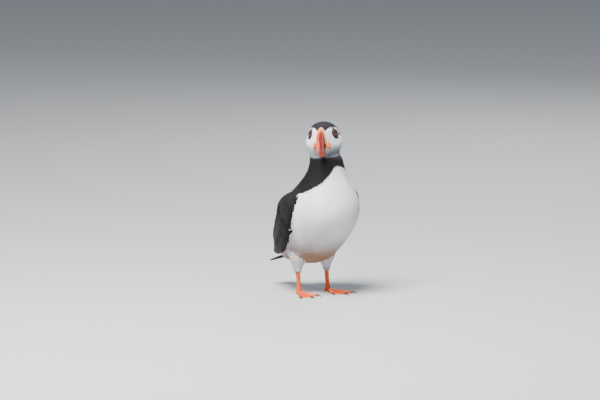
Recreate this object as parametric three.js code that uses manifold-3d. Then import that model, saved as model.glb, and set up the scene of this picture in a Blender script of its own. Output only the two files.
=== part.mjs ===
// An Atlantic puffin standing upright, life size, in millimetres, +Z up.
// The bird faces -Y, its right side is -X, and it stands on the plane z = 0.
// The body is modelled whole and parted by thin cuts, and hard parts are let into it with a small gap.
import * as THREE from "three";
import { mergeVertices } from "three/addons/utils/BufferGeometryUtils.js";
import Module from "manifold-3d";

const wasm = await Module();
wasm.setup();

// ---------- Driving dimensions ----------
const GAP = 0.35; // between neighbouring pieces
const SIDES = [
  { name: "left", x: 1 },
  { name: "right", x: -1 },
];

const HEAD = {
  centre: [-1.2, -22.5, 192.5], // level with the eyes
  yaw: -39.5, // degrees: the bird looks back over its right side
  pitch: 0.5, // degrees, bill downwards
  roll: 2.5, // degrees, left side of the head raised
};
const EYE = { forward: 6.5, height: 0.6, radius: 4.1, sunk: 2.35 };
const BILL = {
  base: 20, // forward of the head's centre
  tip: 52,
  top: 8, // above eye level
  mouth: -10.5,
  bottom: -24.5,
  tipTop: -9.5,
  hook: 3.2,
  upperWidth: 5.7, // half widths
  lowerWidth: 6.2,
  tipWidth: 1.7,
};
const LEG = {
  apart: 20.5, // half the distance between the tarsi
  ankle: [6, 29], // y, z
  toeRoot: [3, 5],
  knee: [6, 56],
  splay: 9, // degrees that each foot turns outwards
  forwardStep: { left: -1, right: -3 },
};
const TAIL = { root: [47, 43], length: 41, droop: 14, feathers: 12, rootWidth: 7, halfSpread: 9 };

// ---------- Geometry helpers ----------
const degrees = THREE.MathUtils.degToRad;
const vector = (x, y, z) => new THREE.Vector3(x, y, z);
const lerp = THREE.MathUtils.lerp;

// Only positions, with shared vertices merged, and faces turned outwards.
function closed(geometry) {
  const bare = new THREE.BufferGeometry();
  bare.setAttribute("position", geometry.getAttribute("position").clone());
  if (geometry.index) bare.setIndex(geometry.index.clone());
  const merged = mergeVertices(bare, 1e-4);
  const p = merged.getAttribute("position");
  const index = merged.index.array;
  const [a, b, c] = [vector(), vector(), vector()];
  let volume = 0;
  for (let i = 0; i < index.length; i += 3) {
    a.fromBufferAttribute(p, index[i]);
    b.fromBufferAttribute(p, index[i + 1]);
    c.fromBufferAttribute(p, index[i + 2]);
    volume += a.dot(b.cross(c));
  }
  if (volume < 0) {
    for (let i = 0; i < index.length; i += 3) {
      [index[i + 1], index[i + 2]] = [index[i + 2], index[i + 1]];
    }
  }
  return merged;
}

function solid(geometry) {
  const g = closed(geometry);
  return new wasm.Manifold(
    new wasm.Mesh({
      numProp: 3,
      vertProperties: new Float32Array(g.getAttribute("position").array),
      triVerts: new Uint32Array(g.index.array),
    }),
  );
}

function geometryOf(manifold) {
  const mesh = manifold.getMesh();
  const positions = new Float32Array(mesh.numVert * 3);
  for (let i = 0; i < mesh.numVert; i++) {
    for (let k = 0; k < 3; k++) positions[i * 3 + k] = mesh.vertProperties[i * mesh.numProp + k];
  }
  const g = new THREE.BufferGeometry();
  g.setAttribute("position", new THREE.BufferAttribute(positions, 3));
  g.setIndex(new THREE.BufferAttribute(new Uint32Array(mesh.triVerts), 1));
  return g;
}

// The same surface moved outwards along its normals, to cut a seat that leaves a gap.
function grown(geometry, by) {
  const g = closed(geometry);
  g.computeVertexNormals();
  const p = g.getAttribute("position");
  const n = g.getAttribute("normal");
  for (let i = 0; i < p.count; i++) {
    p.setXYZ(i, p.getX(i) + by * n.getX(i), p.getY(i) + by * n.getY(i), p.getZ(i) + by * n.getZ(i));
  }
  return g;
}

// A closed skin over rings of equal length, each an array of Vector3, with its ends fanned shut.
function loft(rings) {
  const count = rings[0].length;
  const centre = (ring) => ring.reduce((sum, v) => sum.add(v), vector(0, 0, 0)).divideScalar(count);
  const points = rings.flat();
  const first = points.push(centre(rings[0])) - 1;
  const last = points.push(centre(rings.at(-1))) - 1;
  const index = [];
  for (let r = 0; r + 1 < rings.length; r++) {
    for (let i = 0; i < count; i++) {
      const j = (i + 1) % count;
      const [a, b] = [r * count + i, r * count + j];
      index.push(a, b, a + count, b, b + count, a + count);
    }
  }
  const end = (rings.length - 1) * count;
  for (let i = 0; i < count; i++) {
    const j = (i + 1) % count;
    index.push(first, j, i, last, end + i, end + j);
  }
  const g = new THREE.BufferGeometry().setFromPoints(points);
  g.setIndex(index);
  return closed(g);
}

// A smooth table: rows of numbers become a function of 0..1 that passes through them.
function smoothRows(rows) {
  const width = rows[0].length;
  const curves = [];
  for (let k = 0; k < width; k++) {
    curves.push(new THREE.CatmullRomCurve3(rows.map((row, i) => vector(i, row[k], 0)), false, "catmullrom", 0.5));
  }
  return (t) => curves.map((curve) => curve.getPoint(t).y);
}

const signedPower = (value, power) => Math.sign(value) * Math.abs(value) ** power;

// A large box on the side of a plane that its normal points to.
function halfSpace(point, normal, size = 400) {
  const box = new THREE.BoxGeometry(size, size, size);
  box.translate(0, 0, size / 2);
  box.applyQuaternion(new THREE.Quaternion().setFromUnitVectors(vector(0, 0, 1), normal.clone().normalize()));
  box.translate(point.x, point.y, point.z);
  return solid(box);
}

// ---------- Frames ----------
const headFrame = new THREE.Matrix4().makeRotationFromEuler(
  new THREE.Euler(degrees(HEAD.pitch), degrees(-HEAD.roll), degrees(HEAD.yaw), "ZXY"),
);
headFrame.setPosition(...HEAD.centre);
// A point of the head: x to its left, forward towards the bill, up from eye level.
const onHead = (x, forward, up) => vector(x, -forward, up).applyMatrix4(headFrame);

// ---------- Trunk and neck ----------
// Stations from the root of the tail to inside the head, across the body's axis:
// y and z of the centre, then half width, depth to the belly and depth to the back.
const TRUNK_STATIONS = [
  [52, 40, 10, 6, 6],
  [46, 44, 18, 12, 10],
  [35, 52, 27, 22, 16],
  [19, 65, 35, 37.5, 24],
  [2, 82, 40, 43.5, 32],
  [-11, 100, 44.5, 47, 34],
  [-20, 117, 42.5, 47.5, 27.5],
  [-25, 133, 31, 36, 24],
  [-27.5, 148, 22, 25.5, 21.5],
  [-28, 162, 19.3, 18.5, 21.5],
  [-25, 176, 18.2, 13, 20.5],
];
const trunkAt = smoothRows(TRUNK_STATIONS);
const TRUNK_SIDES = 24;
const TRUNK_RINGS = 24;

// angle 0 is the left side and 90 degrees is the belly.
function trunkPoint(t, angle, grow = 0) {
  const [y, z, width, belly, back] = trunkAt(t);
  const before = trunkAt(Math.max(0, t - 0.02));
  const after = trunkAt(Math.min(1, t + 0.02));
  const along = vector(0, after[0] - before[0], after[1] - before[1]).normalize();
  const toBelly = vector(0, -along.z, along.y);
  const depth = (Math.sin(angle) > 0 ? belly : back) + grow;
  const across = (width + grow) * signedPower(Math.cos(angle), 0.94);
  return vector(across, y, z).addScaledVector(toBelly, depth * signedPower(Math.sin(angle), 0.94));
}

function trunkLoft(grow = 0) {
  const rings = [];
  for (let r = 0; r <= TRUNK_RINGS; r++) {
    const ring = [];
    for (let i = 0; i < TRUNK_SIDES; i++) {
      ring.push(trunkPoint(r / TRUNK_RINGS, (i / TRUNK_SIDES) * 2 * Math.PI, grow));
    }
    rings.push(ring);
  }
  return loft(rings);
}

// ---------- Head ----------
// Stations from the back of the head to the root of the bill: forward, half width, top, bottom.
const HEAD_STATIONS = [
  [-24.5, 4, -4, -18],
  [-22, 12, 4.5, -25],
  [-16, 18.5, 10, -28.5],
  [-8, 21.3, 13.2, -30],
  [0, 20.3, 13.8, -30],
  [7, 16.8, 13, -28.5],
  [14, 12.8, 10.8, -28],
  [20, 9, 8, -26],
  [23, 6, 5, -21],
];
const headAt = smoothRows(HEAD_STATIONS);
const HEAD_SIDES = 22;
const HEAD_RINGS = 13;
const CHEEK_DROP = 0.5; // share of the height by which the widest level lies below the middle

// angle 0 is the left side and 90 degrees is the crown.
function headPoint(t, angle) {
  const [forward, width, top, bottom] = headAt(t);
  const middle = (top + bottom) / 2;
  const half = (top - bottom) / 2;
  const s = Math.sin(angle);
  const taper = 1 - 0.1 * CHEEK_DROP * (s + 1) ** 2;
  const up = middle + half * signedPower(s, 0.88);
  return onHead(width * taper * signedPower(Math.cos(angle), 0.86), forward, up);
}

function headLoft() {
  const rings = [];
  for (let r = 0; r <= HEAD_RINGS; r++) {
    const ring = [];
    for (let i = 0; i < HEAD_SIDES; i++) ring.push(headPoint(r / HEAD_RINGS, (i / HEAD_SIDES) * 2 * Math.PI));
    rings.push(ring);
  }
  return loft(rings);
}

// The place on the head's surface at a forward distance and height, with its outward normal.
function headSurface(side, forward, up) {
  let [t, angle] = [0.5, 0];
  for (let i = 0; i < 40; i++) {
    const p = headPoint(t, angle).applyMatrix4(headFrame.clone().invert());
    t = THREE.MathUtils.clamp(t + (forward + p.y) * 0.012, 0, 0.999);
    angle = THREE.MathUtils.clamp(angle + (up - p.z) * 0.03, -1.5, 1.5);
  }
  const here = headPoint(t, angle);
  const ahead = headPoint(t + 0.01, angle).sub(here);
  const above = headPoint(t, angle + 0.02).sub(here);
  const local = here.clone().applyMatrix4(headFrame.clone().invert());
  const normal = ahead.cross(above).normalize();
  const flip = headFrame.clone().invert().setPosition(0, 0, 0);
  const localNormal = normal.applyMatrix4(flip);
  if (localNormal.x < 0) localNormal.negate();
  local.x = Math.abs(local.x) * side;
  localNormal.x *= side;
  const turn = headFrame.clone().setPosition(0, 0, 0);
  return { point: local.applyMatrix4(headFrame), normal: localNormal.applyMatrix4(turn) };
}

// A frame on the head's side: +Z out of the skin, +Y up, and +X to the bird's right along the skin.
function sideFrame(side, forward, up) {
  const { point, normal } = headSurface(side, forward, up);
  const upward = vector(0, 0, 1).applyMatrix4(headFrame.clone().setPosition(0, 0, 0));
  const ahead = upward.clone().cross(normal).normalize();
  const lifted = normal.clone().cross(ahead).normalize();
  return new THREE.Matrix4().makeBasis(ahead, lifted, normal).setPosition(point);
}

// ---------- Eyes, their rings and horny plates ----------
const RING = { radius: 3.85, section: 0.62 }; // the bare ring of skin round the eye

function eyeGeometry(side) {
  const ball = new THREE.SphereGeometry(EYE.radius, 12, 8);
  ball.translate(0, 0, -EYE.sunk - 0.2);
  return ball.applyMatrix4(sideFrame(side, EYE.forward, EYE.height));
}

function eyeRingGeometry(side) {
  const profile = [];
  const steps = 5;
  for (let i = 0; i <= steps; i++) {
    const angle = (i / steps) * 2 * Math.PI;
    profile.push(new THREE.Vector2(RING.radius + RING.section * Math.cos(angle), 0.35 + RING.section * Math.sin(angle)));
  }
  const ring = new THREE.LatheGeometry(profile, 14);
  ring.rotateX(Math.PI / 2);
  return ring.applyMatrix4(sideFrame(side, EYE.forward, EYE.height));
}

// The orbit: a round hole that takes the eye and its ring with a gap.
function orbitGeometry(side) {
  const hole = new THREE.CylinderGeometry(RING.radius + RING.section + 0.45, EYE.radius + 0.45, 12, 14);
  hole.rotateX(Math.PI / 2);
  hole.translate(0, 0, -2.2);
  return hole.applyMatrix4(sideFrame(side, EYE.forward, EYE.height));
}

// A flat plate from an outline in the side frame's plane, with x towards the bill.
function plateGeometry(side, outline, forward, up, thickness = 1.2) {
  const shape = new THREE.Shape(outline.map(([x, y]) => new THREE.Vector2(x * -side, y)));
  const plate = new THREE.ExtrudeGeometry(shape, { depth: thickness, bevelEnabled: false });
  plate.translate(0, 0, -0.5);
  return plate.applyMatrix4(sideFrame(side, forward, up));
}

const UPPER_PLATE = [
  [-2.6, 0],
  [0, -0.4],
  [2.4, 0],
  [1.2, 2],
  [0.2, 4],
  [-0.8, 3.9],
  [-1.8, 2],
];
const LOWER_PLATE = [
  [-4.2, 0.8],
  [-3.9, -0.8],
  [0, -1.2],
  [3.6, -0.6],
  [3.7, 0.9],
  [0, 0.5],
];

// ---------- Bill ----------
const BILL_RINGS = 10;
const CERE_RINGS = 2;
const billLength = BILL.tip - BILL.base;

// Side profile of the bill at s = 0 (base) to 1 (tip).
// The part let into the head, below 0, keeps the size of the base.
const inBill = (profile) => (s) => profile(THREE.MathUtils.clamp(s, 0, 1));
const culmenArc = (s) => (1 - s ** 2.15) ** 0.62;
const culmen = inBill((s) => lerp(BILL.tipTop, BILL.top, culmenArc(s)) + 1.6 * Math.sin(Math.PI * s) * (1 - s));
const mouthLine = inBill((s) => BILL.mouth - 0.8 * Math.sin(Math.PI * s) - 1.6 * s);
const upperEdge = (s) => mouthLine(s) - BILL.hook * Math.max(0, (s - 0.86) / 0.14) ** 1.5;
const gonys = inBill((s) => lerp(BILL.bottom, mouthLine(1) - 2.2, s ** 1.45));
const billForward = (s, lean) => BILL.base + billLength * s + lean * (1 - s);

// Half a section of the bill: from the flat at the mouth to the ridge, as [share of width, share of height].
// A lower fullness makes the section squarer and a higher one sharper.
function arch(points, fullness) {
  const half = [];
  for (let i = 0; i <= points; i++) {
    const angle = (i / points) * (Math.PI / 2);
    half.push([Math.cos(angle) ** fullness, Math.sin(angle) ** 1.05]);
  }
  return half;
}

// The base of the bill leans: its top and bottom reach a little further forward than the mouth corner.
const baseLean = (z) => (z > BILL.mouth ? 1.2 : 3) * ((z - BILL.mouth) / 22) ** 2;

function mandible({ from, to, steps, edge, ridge, width, ridgeWidth, fullness }) {
  const half = arch(4, fullness);
  const rings = [];
  for (let r = 0; r <= steps; r++) {
    const s = lerp(from, to, r / steps);
    const [z0, z1] = [edge(s), ridge(s)];
    const w = width(s);
    const shape = half.map(([across, height]) => [
      Math.max(w * across, Math.min(w, ridgeWidth) * (1 - height ** 6)),
      z0 + (z1 - z0) * height,
    ]);
    const ring = shape.map(([x, z]) => onHead(x, billForward(s, baseLean(z)), z));
    const mirrored = shape.slice(0, -1).reverse();
    mirrored.forEach(([x, z]) => ring.push(onHead(-x, billForward(s, baseLean(z)), z)));
    rings.push(ring);
  }
  return loft(rings);
}

const upperWidth = inBill((s) => lerp(BILL.upperWidth, BILL.tipWidth, s ** 0.85));
const lowerWidth = inBill((s) => lerp(BILL.lowerWidth, BILL.tipWidth * 0.8, s ** 0.7));

// Either mandible between two places along the bill; extra raises it all round.
const upperMandible = (from, to, steps, extra = 0) =>
  mandible({
    from,
    to,
    steps,
    edge: (s) => upperEdge(s) + GAP / 2,
    ridge: (s) => culmen(s) + extra,
    width: (s) => upperWidth(s) + extra,
    ridgeWidth: 1.9,
    fullness: 0.92,
  });
const lowerMandible = (from, to, steps, extra = 0) =>
  mandible({
    from,
    to,
    steps,
    edge: (s) => mouthLine(s) - GAP / 2,
    ridge: (s) => gonys(s) - extra,
    width: (s) => lowerWidth(s) + extra,
    ridgeWidth: 1.4,
    fullness: 1.02,
  });

const CERE_SHARE = 0.085; // of the bill's length, taken by the raised rim at its base
const LOWER_TIP_SHARE = 0.93;
const ROOT_SHARE = -0.16; // how far the bill is let into the head

function rosetteGeometry(side) {
  const wattle = new THREE.SphereGeometry(1, 9, 7);
  wattle.scale(3.4, 4.3, 2.1);
  wattle.rotateZ(0.35 * side);
  const frame = new THREE.Matrix4().makeRotationY(side * degrees(66)).setPosition(side * 7.6, -(BILL.base - 0.6), BILL.mouth - 0.6);
  return wattle.applyMatrix4(headFrame.clone().multiply(frame));
}

// ---------- Wings ----------
// The folded wing is a plate that lies on the trunk. Stations from the wrist to the tip: the place
// along the trunk, degrees behind its side, half chord, thickness, and how far it has left the trunk's end.
const WING_STATIONS = [
  [0.67, 0, 2.5, 2, 0],
  [0.64, 4, 8, 3.6, 0],
  [0.59, 10, 15, 4.6, 0],
  [0.5, 16, 24, 5.4, 0],
  [0.41, 19, 28, 6, 0],
  [0.32, 20, 27, 6, 0],
  [0.24, 22, 21, 5, 0],
  [0.18, 26, 13, 3.6, 2],
  [0.15, 34, 7, 2.2, 8],
  [0.14, 42, 2, 1.2, 15],
];
const wingAt = smoothRows(WING_STATIONS);
const WING_RINGS = 16;
const WING_SIDES = 12;
const WING_LIFT = 0.5; // clear of the trunk
const WING_DROOP = 38; // degrees by which the tip slopes down behind the trunk

function wingLoft(side) {
  const rings = [];
  for (let r = 0; r <= WING_RINGS; r++) {
    const [t, turn, chord, thickness, beyond] = wingAt(r / WING_RINGS);
    const middle = trunkPoint(t, degrees(-turn));
    const [y, z] = trunkAt(t);
    const reach = middle.distanceTo(vector(0, y, z));
    const ring = [];
    for (let i = 0; i < WING_SIDES; i++) {
      const angle = (i / WING_SIDES) * 2 * Math.PI;
      const lift = WING_LIFT + (thickness / 2) * (1 + Math.sin(angle));
      const p = trunkPoint(t, degrees(-turn) + (chord * Math.cos(angle)) / reach, lift);
      p.y += beyond * Math.cos(degrees(WING_DROOP));
      p.z -= beyond * Math.sin(degrees(WING_DROOP));
      ring.push(vector(p.x * side, p.y, p.z));
    }
    rings.push(ring);
  }
  return loft(rings);
}

// ---------- Tail ----------
// A fan of overlapping feathers, joined into one plate with a scalloped end.
function tailFeather(share) {
  const spread = share * TAIL.halfSpread;
  const length = TAIL.length * (1 - 0.1 * share * share);
  const rings = [];
  const steps = 3;
  for (let i = 0; i <= steps; i++) {
    const t = (i / steps) ** 0.5;
    const width = lerp(4.2, 5.2, t) * (t > 0.8 ? Math.sqrt(Math.max(0.02, 1 - ((t - 0.8) / 0.2) ** 2 * 0.98)) : 1);
    const thickness = lerp(2.6, 0.8, t);
    const x = share * TAIL.rootWidth + Math.sin(degrees(spread)) * length * t;
    const ring = [];
    for (const [a, b] of [[-1, 0], [0, -0.5], [1, 0], [0, 0.5]]) {
      ring.push(vector(x + a * width, length * t * Math.cos(degrees(spread)), b * thickness - 2.4 * share * share));
    }
    rings.push(ring);
  }
  return loft(rings);
}

function tailManifold() {
  const droop = new THREE.Matrix4().makeRotationX(degrees(-TAIL.droop)).setPosition(0, TAIL.root[0] - 5, TAIL.root[1] + 1);
  let fan = null;
  for (let i = 0; i < TAIL.feathers; i++) {
    const feather = solid(tailFeather((2 * i) / (TAIL.feathers - 1) - 1).applyMatrix4(droop));
    fan = fan ? fan.add(feather) : feather;
  }
  return fan;
}

// ---------- Legs and feet ----------
// A round bar along a smooth line through points, with a radius at each.
function limb(points, radii, sides, rings) {
  const path = new THREE.CatmullRomCurve3(points);
  const radiusAt = smoothRows(radii.map((r) => [r]));
  const made = [];
  for (let i = 0; i <= rings; i++) {
    const t = i / rings;
    const along = path.getTangent(t);
    const sideways = vector(0, 1, 0).cross(along);
    if (sideways.length() < 0.2) sideways.set(1, 0, 0);
    sideways.normalize();
    const upward = along.clone().cross(sideways).normalize();
    const ring = [];
    for (let k = 0; k < sides; k++) {
      const angle = (k / sides) * 2 * Math.PI;
      const r = radiusAt(t)[0];
      ring.push(
        path
          .getPoint(t)
          .addScaledVector(sideways, r * Math.cos(angle))
          .addScaledVector(upward, r * Math.sin(angle)),
      );
    }
    made.push(ring);
  }
  return loft(made);
}

const stepOf = (side) => LEG.forwardStep[side.name];

function shankGeometry(side) {
  const x = side.x * LEG.apart;
  const y = stepOf(side);
  const points = [
    vector(x * 0.92, LEG.knee[0] + y, LEG.knee[1]),
    vector(x * 0.97, LEG.knee[0] + y, 44),
    vector(x, LEG.ankle[0] + y + 0.5, LEG.ankle[1] + 4),
    vector(x, LEG.ankle[0] + y, LEG.ankle[1] - 3),
  ];
  return limb(points, [13, 11.5, 6.2, 3.9], 12, 7);
}

function tarsusGeometry(side) {
  const x = side.x * LEG.apart;
  const y = stepOf(side);
  const points = [
    vector(x, LEG.ankle[0] + y, LEG.ankle[1]),
    vector(x, LEG.ankle[0] + y - 0.4, LEG.ankle[1] - 6),
    vector(x, LEG.toeRoot[0] + y + 1, 11),
    vector(x, LEG.toeRoot[0] + y, LEG.toeRoot[1] - 1.4),
  ];
  return limb(points, [3.4, 2.7, 2.4, 3.2], 9, 6);
}

// Each toe: its turn from straight ahead in degrees, and its length to the root of the claw.
const TOES = [
  { name: "inner", turn: 27, length: 27 },
  { name: "middle", turn: 3, length: 34 },
  { name: "outer", turn: -20, length: 33 },
];
const TOE_TOP = 4.6;
const SOLE = 0.5; // pressed flat on the ground

function toeDirection(side, toe) {
  const angle = degrees(-side.x * toe.turn + side.x * LEG.splay);
  return vector(Math.sin(angle), -Math.cos(angle), 0);
}

// A toe with a flat sole: knuckles swell it at its joints.
function toeGeometry(side, toe) {
  const root = vector(side.x * LEG.apart, LEG.toeRoot[0] + stepOf(side), 0);
  const ahead = toeDirection(side, toe);
  const across = vector(-ahead.y, ahead.x, 0);
  const rings = [];
  const steps = 6;
  for (let i = 0; i <= steps; i++) {
    const t = i / steps;
    const knuckle = 0.28 * Math.cos(t * 3 * 2 * Math.PI);
    const width = lerp(2.5, 1.5, t) + knuckle;
    const height = lerp(TOE_TOP, 2.4, t ** 0.7) + knuckle;
    const centre = root.clone().addScaledVector(ahead, lerp(-3.5, toe.length, t));
    const ring = [];
    const sides = 6;
    for (let k = 0; k < sides; k++) {
      const angle = (k / sides) * 2 * Math.PI;
      const z = (height + SOLE) * (0.5 + 0.5 * signedPower(Math.sin(angle), 0.75)) - SOLE;
      ring.push(centre.clone().addScaledVector(across, width * signedPower(Math.cos(angle), 0.75)).setZ(Math.max(0, z)));
    }
    rings.push(ring);
  }
  return loft(rings);
}

// The web between two toes: a thin plate with a hollowed front edge.
function webGeometry(side, one, other) {
  const root = new THREE.Vector2(side.x * LEG.apart, LEG.toeRoot[0] + stepOf(side) + 1);
  const at = (toe, share) => {
    const d = toeDirection(side, toe);
    return new THREE.Vector2(root.x + d.x * toe.length * share, root.y + d.y * toe.length * share);
  };
  const [a, b] = [at(one, 0.97), at(other, 0.97)];
  const middle = a.clone().add(b).multiplyScalar(0.5).lerp(root, 0.2);
  const shape = new THREE.Shape();
  shape.moveTo(root.x, root.y);
  shape.lineTo(a.x, a.y);
  shape.quadraticCurveTo(middle.x, middle.y, b.x, b.y);
  shape.lineTo(root.x, root.y);
  const web = new THREE.ExtrudeGeometry(shape, { depth: 0.9, bevelEnabled: false, curveSegments: 4 });
  return web;
}

function footManifold(side) {
  let foot = null;
  for (const toe of TOES) {
    const made = solid(toeGeometry(side, toe));
    foot = foot ? foot.add(made) : made;
  }
  foot = foot.add(solid(webGeometry(side, TOES[0], TOES[1])));
  return foot.add(solid(webGeometry(side, TOES[1], TOES[2])));
}

// A claw curving down from the end of its toe to the ground.
function clawGeometry(side, toe) {
  const ahead = toeDirection(side, toe);
  const root = vector(side.x * LEG.apart, LEG.toeRoot[0] + stepOf(side), 0);
  const at = (out, z) => root.clone().addScaledVector(ahead, toe.length + out).setZ(z);
  return limb([at(-0.8, 1.4), at(2.2, 2.2), at(4.6, 1.6), at(6.4, 0.45)], [1.0, 1.15, 0.8, 0.3], 5, 3);
}

// ---------- Putting the bird together ----------
const BLACK = { color: 0x17161a, roughness: 0.85 };
const WHITE = { color: 0xf1f1ee, roughness: 0.9 };
const FACE = { color: 0xdcdee0, roughness: 0.9 };
const ORANGE_SKIN = { color: 0xe8712a, roughness: 0.55 };
const bird = new THREE.Group();

function addMesh(name, shape, look) {
  const geometry = shape.isBufferGeometry ? shape : geometryOf(tidied(shape));
  const mesh = new THREE.Mesh(geometry, new THREE.MeshStandardMaterial({ metalness: 0, ...look }));
  mesh.geometry.computeVertexNormals();
  mesh.name = name;
  bird.add(mesh);
}

const cutAll = (from, cutters) => cutters.reduce((rest, cutter) => rest.subtract(cutter), from);
// A cut can leave slivers along its edge, which are dissolved, and a crumb, which is dropped.
const SLIVER = 0.09;
const largest = (made) => made.decompose().reduce((best, body) => (body.volume() > best.volume() ? body : best));
const tidied = (made) => largest(made.simplify(SLIVER));
const between = (whole, lower, upper) =>
  [
    [lower, 1],
    [upper, -1],
  ].reduce((rest, [plane, sign]) => {
    if (!plane) return rest;
    const point = plane.point.clone().addScaledVector(plane.normal, (sign * GAP) / 2);
    return rest.intersect(halfSpace(point, plane.normal.clone().multiplyScalar(sign)));
  }, whole);

// Where the body is parted: normals point up the body, towards the head.
const COLLAR = { point: vector(0, -26, 168.5), normal: vector(0, -0.16, 1).normalize() };
const SHOULDER = { point: vector(0, -24, 138), normal: vector(0, -0.3, 1).normalize() };
const RUMP = { point: vector(0, 43, 46), normal: vector(0, -0.83, 0.55).normalize() };

const hardParts = [];
function addHard(name, geometry, look) {
  hardParts.push(solid(grown(geometry, GAP)));
  addMesh(name, geometry, look);
}

SIDES.forEach((side) => {
  addMesh("eye_" + side.name, eyeGeometry(side.x), { color: 0x1a0f0c, roughness: 0.1 });
  addMesh("eye_ring_" + side.name, eyeRingGeometry(side.x), { color: 0xb02a1e, roughness: 0.6 });
  const orbit = solid(orbitGeometry(side.x));
  hardParts.push(orbit);
  const plates = [
    ["eye_plate_upper_", UPPER_PLATE, EYE.height + RING.radius + 1.2],
    ["eye_plate_lower_", LOWER_PLATE, EYE.height - RING.radius - 1.4],
  ];
  for (const [name, outline, up] of plates) {
    const plate = plateGeometry(side.x, outline, EYE.forward - 0.3, up);
    hardParts.push(solid(grown(plate, GAP)));
    addMesh(name + side.name, solid(plate).subtract(orbit), { color: 0x5b6474, roughness: 0.6 });
  }
});

const upperBody = upperMandible(CERE_SHARE, 1, BILL_RINGS);
const lowerBody = lowerMandible(CERE_SHARE * 0.8, LOWER_TIP_SHARE, BILL_RINGS);
const cereUpper = upperMandible(ROOT_SHARE, CERE_SHARE - GAP / billLength, CERE_RINGS, 0.75);
const cereLower = lowerMandible(ROOT_SHARE, CERE_SHARE * 0.8 - GAP / billLength, CERE_RINGS, 0.6);
const cereUpperSeat = solid(grown(cereUpper, GAP));
addHard("bill_upper", upperBody, { color: 0xd8402f, roughness: 0.35 });
addHard("bill_rim_upper", cereUpper, { color: 0xe9c9a4, roughness: 0.5 });
addMesh("bill_lower", solid(lowerBody).subtract(solid(grown(upperBody, GAP))), { color: 0xd8402f, roughness: 0.35 });
addMesh("bill_rim_lower", solid(cereLower).subtract(cereUpperSeat), { color: 0xe3c49a, roughness: 0.5 });
const billSeats = [upperBody, cereUpper, lowerBody, cereLower].map((g) => solid(grown(g, GAP)));
hardParts.push(...billSeats);

for (const side of SIDES) {
  const wattle = solid(rosetteGeometry(side.x));
  addMesh("mouth_rosette_" + side.name, cutAll(wattle, billSeats), { color: 0xf08a1c, roughness: 0.5 });
  hardParts.push(solid(grown(rosetteGeometry(side.x), GAP)));
}

const trunkWhole = solid(trunkLoft());
addMesh("head", cutAll(between(solid(headLoft()), COLLAR, null), hardParts), FACE);
addMesh("neck", between(trunkWhole, SHOULDER, COLLAR), BLACK);

const tail = tailManifold();
const rumpPiece = between(trunkWhole, null, RUMP);
const shanks = SIDES.map((side) => shankGeometry(side));
const wings = SIDES.map((side) => wingLoft(side.x));
const trunkSeat = solid(grown(trunkLoft(), GAP));
const wingSeats = wings.map((g) => solid(grown(g, GAP)));

SIDES.forEach((side, i) => {
  addMesh("wing_" + side.name, solid(wings[i]).subtract(trunkSeat), BLACK);
});

const trunk = cutAll(between(trunkWhole, RUMP, SHOULDER), shanks.map((g) => solid(grown(g, GAP))));
addMesh("trunk", trunk, WHITE);
addMesh("tail_coverts", cutAll(rumpPiece, wingSeats), BLACK);
addMesh("tail", cutAll(tail, [...wingSeats, trunkSeat]), BLACK);

SIDES.forEach((side, i) => {
  const tarsus = tarsusGeometry(side);
  const tarsusSeat = solid(grown(tarsus, GAP));
  const shank = cutAll(solid(shanks[i]), [tarsusSeat, ...wingSeats]);
  addMesh("leg_" + side.name, shank, WHITE);
  addMesh("tarsus_" + side.name, tarsus, ORANGE_SKIN);
  const claws = TOES.map((toe) => clawGeometry(side, toe));
  const foot = cutAll(footManifold(side), [tarsusSeat, ...claws.map((g) => solid(grown(g, GAP)))]);
  addMesh("foot_" + side.name, foot, ORANGE_SKIN);
  TOES.forEach((toe, k) => addMesh("claw_" + toe.name + "_" + side.name, claws[k], { color: 0x221d1b, roughness: 0.4 }));
});

// The origin is under the middle of the bird, on the ground.
const part = new THREE.Group();
part.add(bird);
const bounds = new THREE.Box3().setFromObject(bird, true);
const middle = bounds.getCenter(vector(0, 0, 0));
bird.position.set(-middle.x, -middle.y, -bounds.min.z);

export default part;
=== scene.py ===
# An Atlantic puffin standing upright, life size: skin, feathers, bill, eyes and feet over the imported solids.
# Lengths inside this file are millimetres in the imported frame; MM turns them into Blender's metres.
import math

import bpy
import bmesh
import numpy as np
from mathutils import Matrix, Vector
from mathutils.bvhtree import BVHTree
from mathutils.kdtree import KDTree


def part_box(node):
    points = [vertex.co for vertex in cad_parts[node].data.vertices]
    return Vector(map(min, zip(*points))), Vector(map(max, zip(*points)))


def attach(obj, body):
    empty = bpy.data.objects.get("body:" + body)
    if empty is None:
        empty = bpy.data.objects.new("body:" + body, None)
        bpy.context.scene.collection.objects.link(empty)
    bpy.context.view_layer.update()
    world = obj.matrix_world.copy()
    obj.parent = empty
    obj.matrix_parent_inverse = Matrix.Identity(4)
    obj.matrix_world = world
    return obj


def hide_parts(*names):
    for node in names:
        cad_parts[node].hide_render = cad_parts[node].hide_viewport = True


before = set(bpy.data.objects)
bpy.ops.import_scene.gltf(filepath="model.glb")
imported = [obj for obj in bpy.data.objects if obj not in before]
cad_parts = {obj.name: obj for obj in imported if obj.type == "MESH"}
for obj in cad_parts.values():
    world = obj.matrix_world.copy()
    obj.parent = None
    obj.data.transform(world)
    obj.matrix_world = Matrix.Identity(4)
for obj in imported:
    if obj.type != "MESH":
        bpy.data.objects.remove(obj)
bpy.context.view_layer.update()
MM = 0.001
SIDES = {"left": 1, "right": -1}
random = np.random.default_rng(7)

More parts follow.
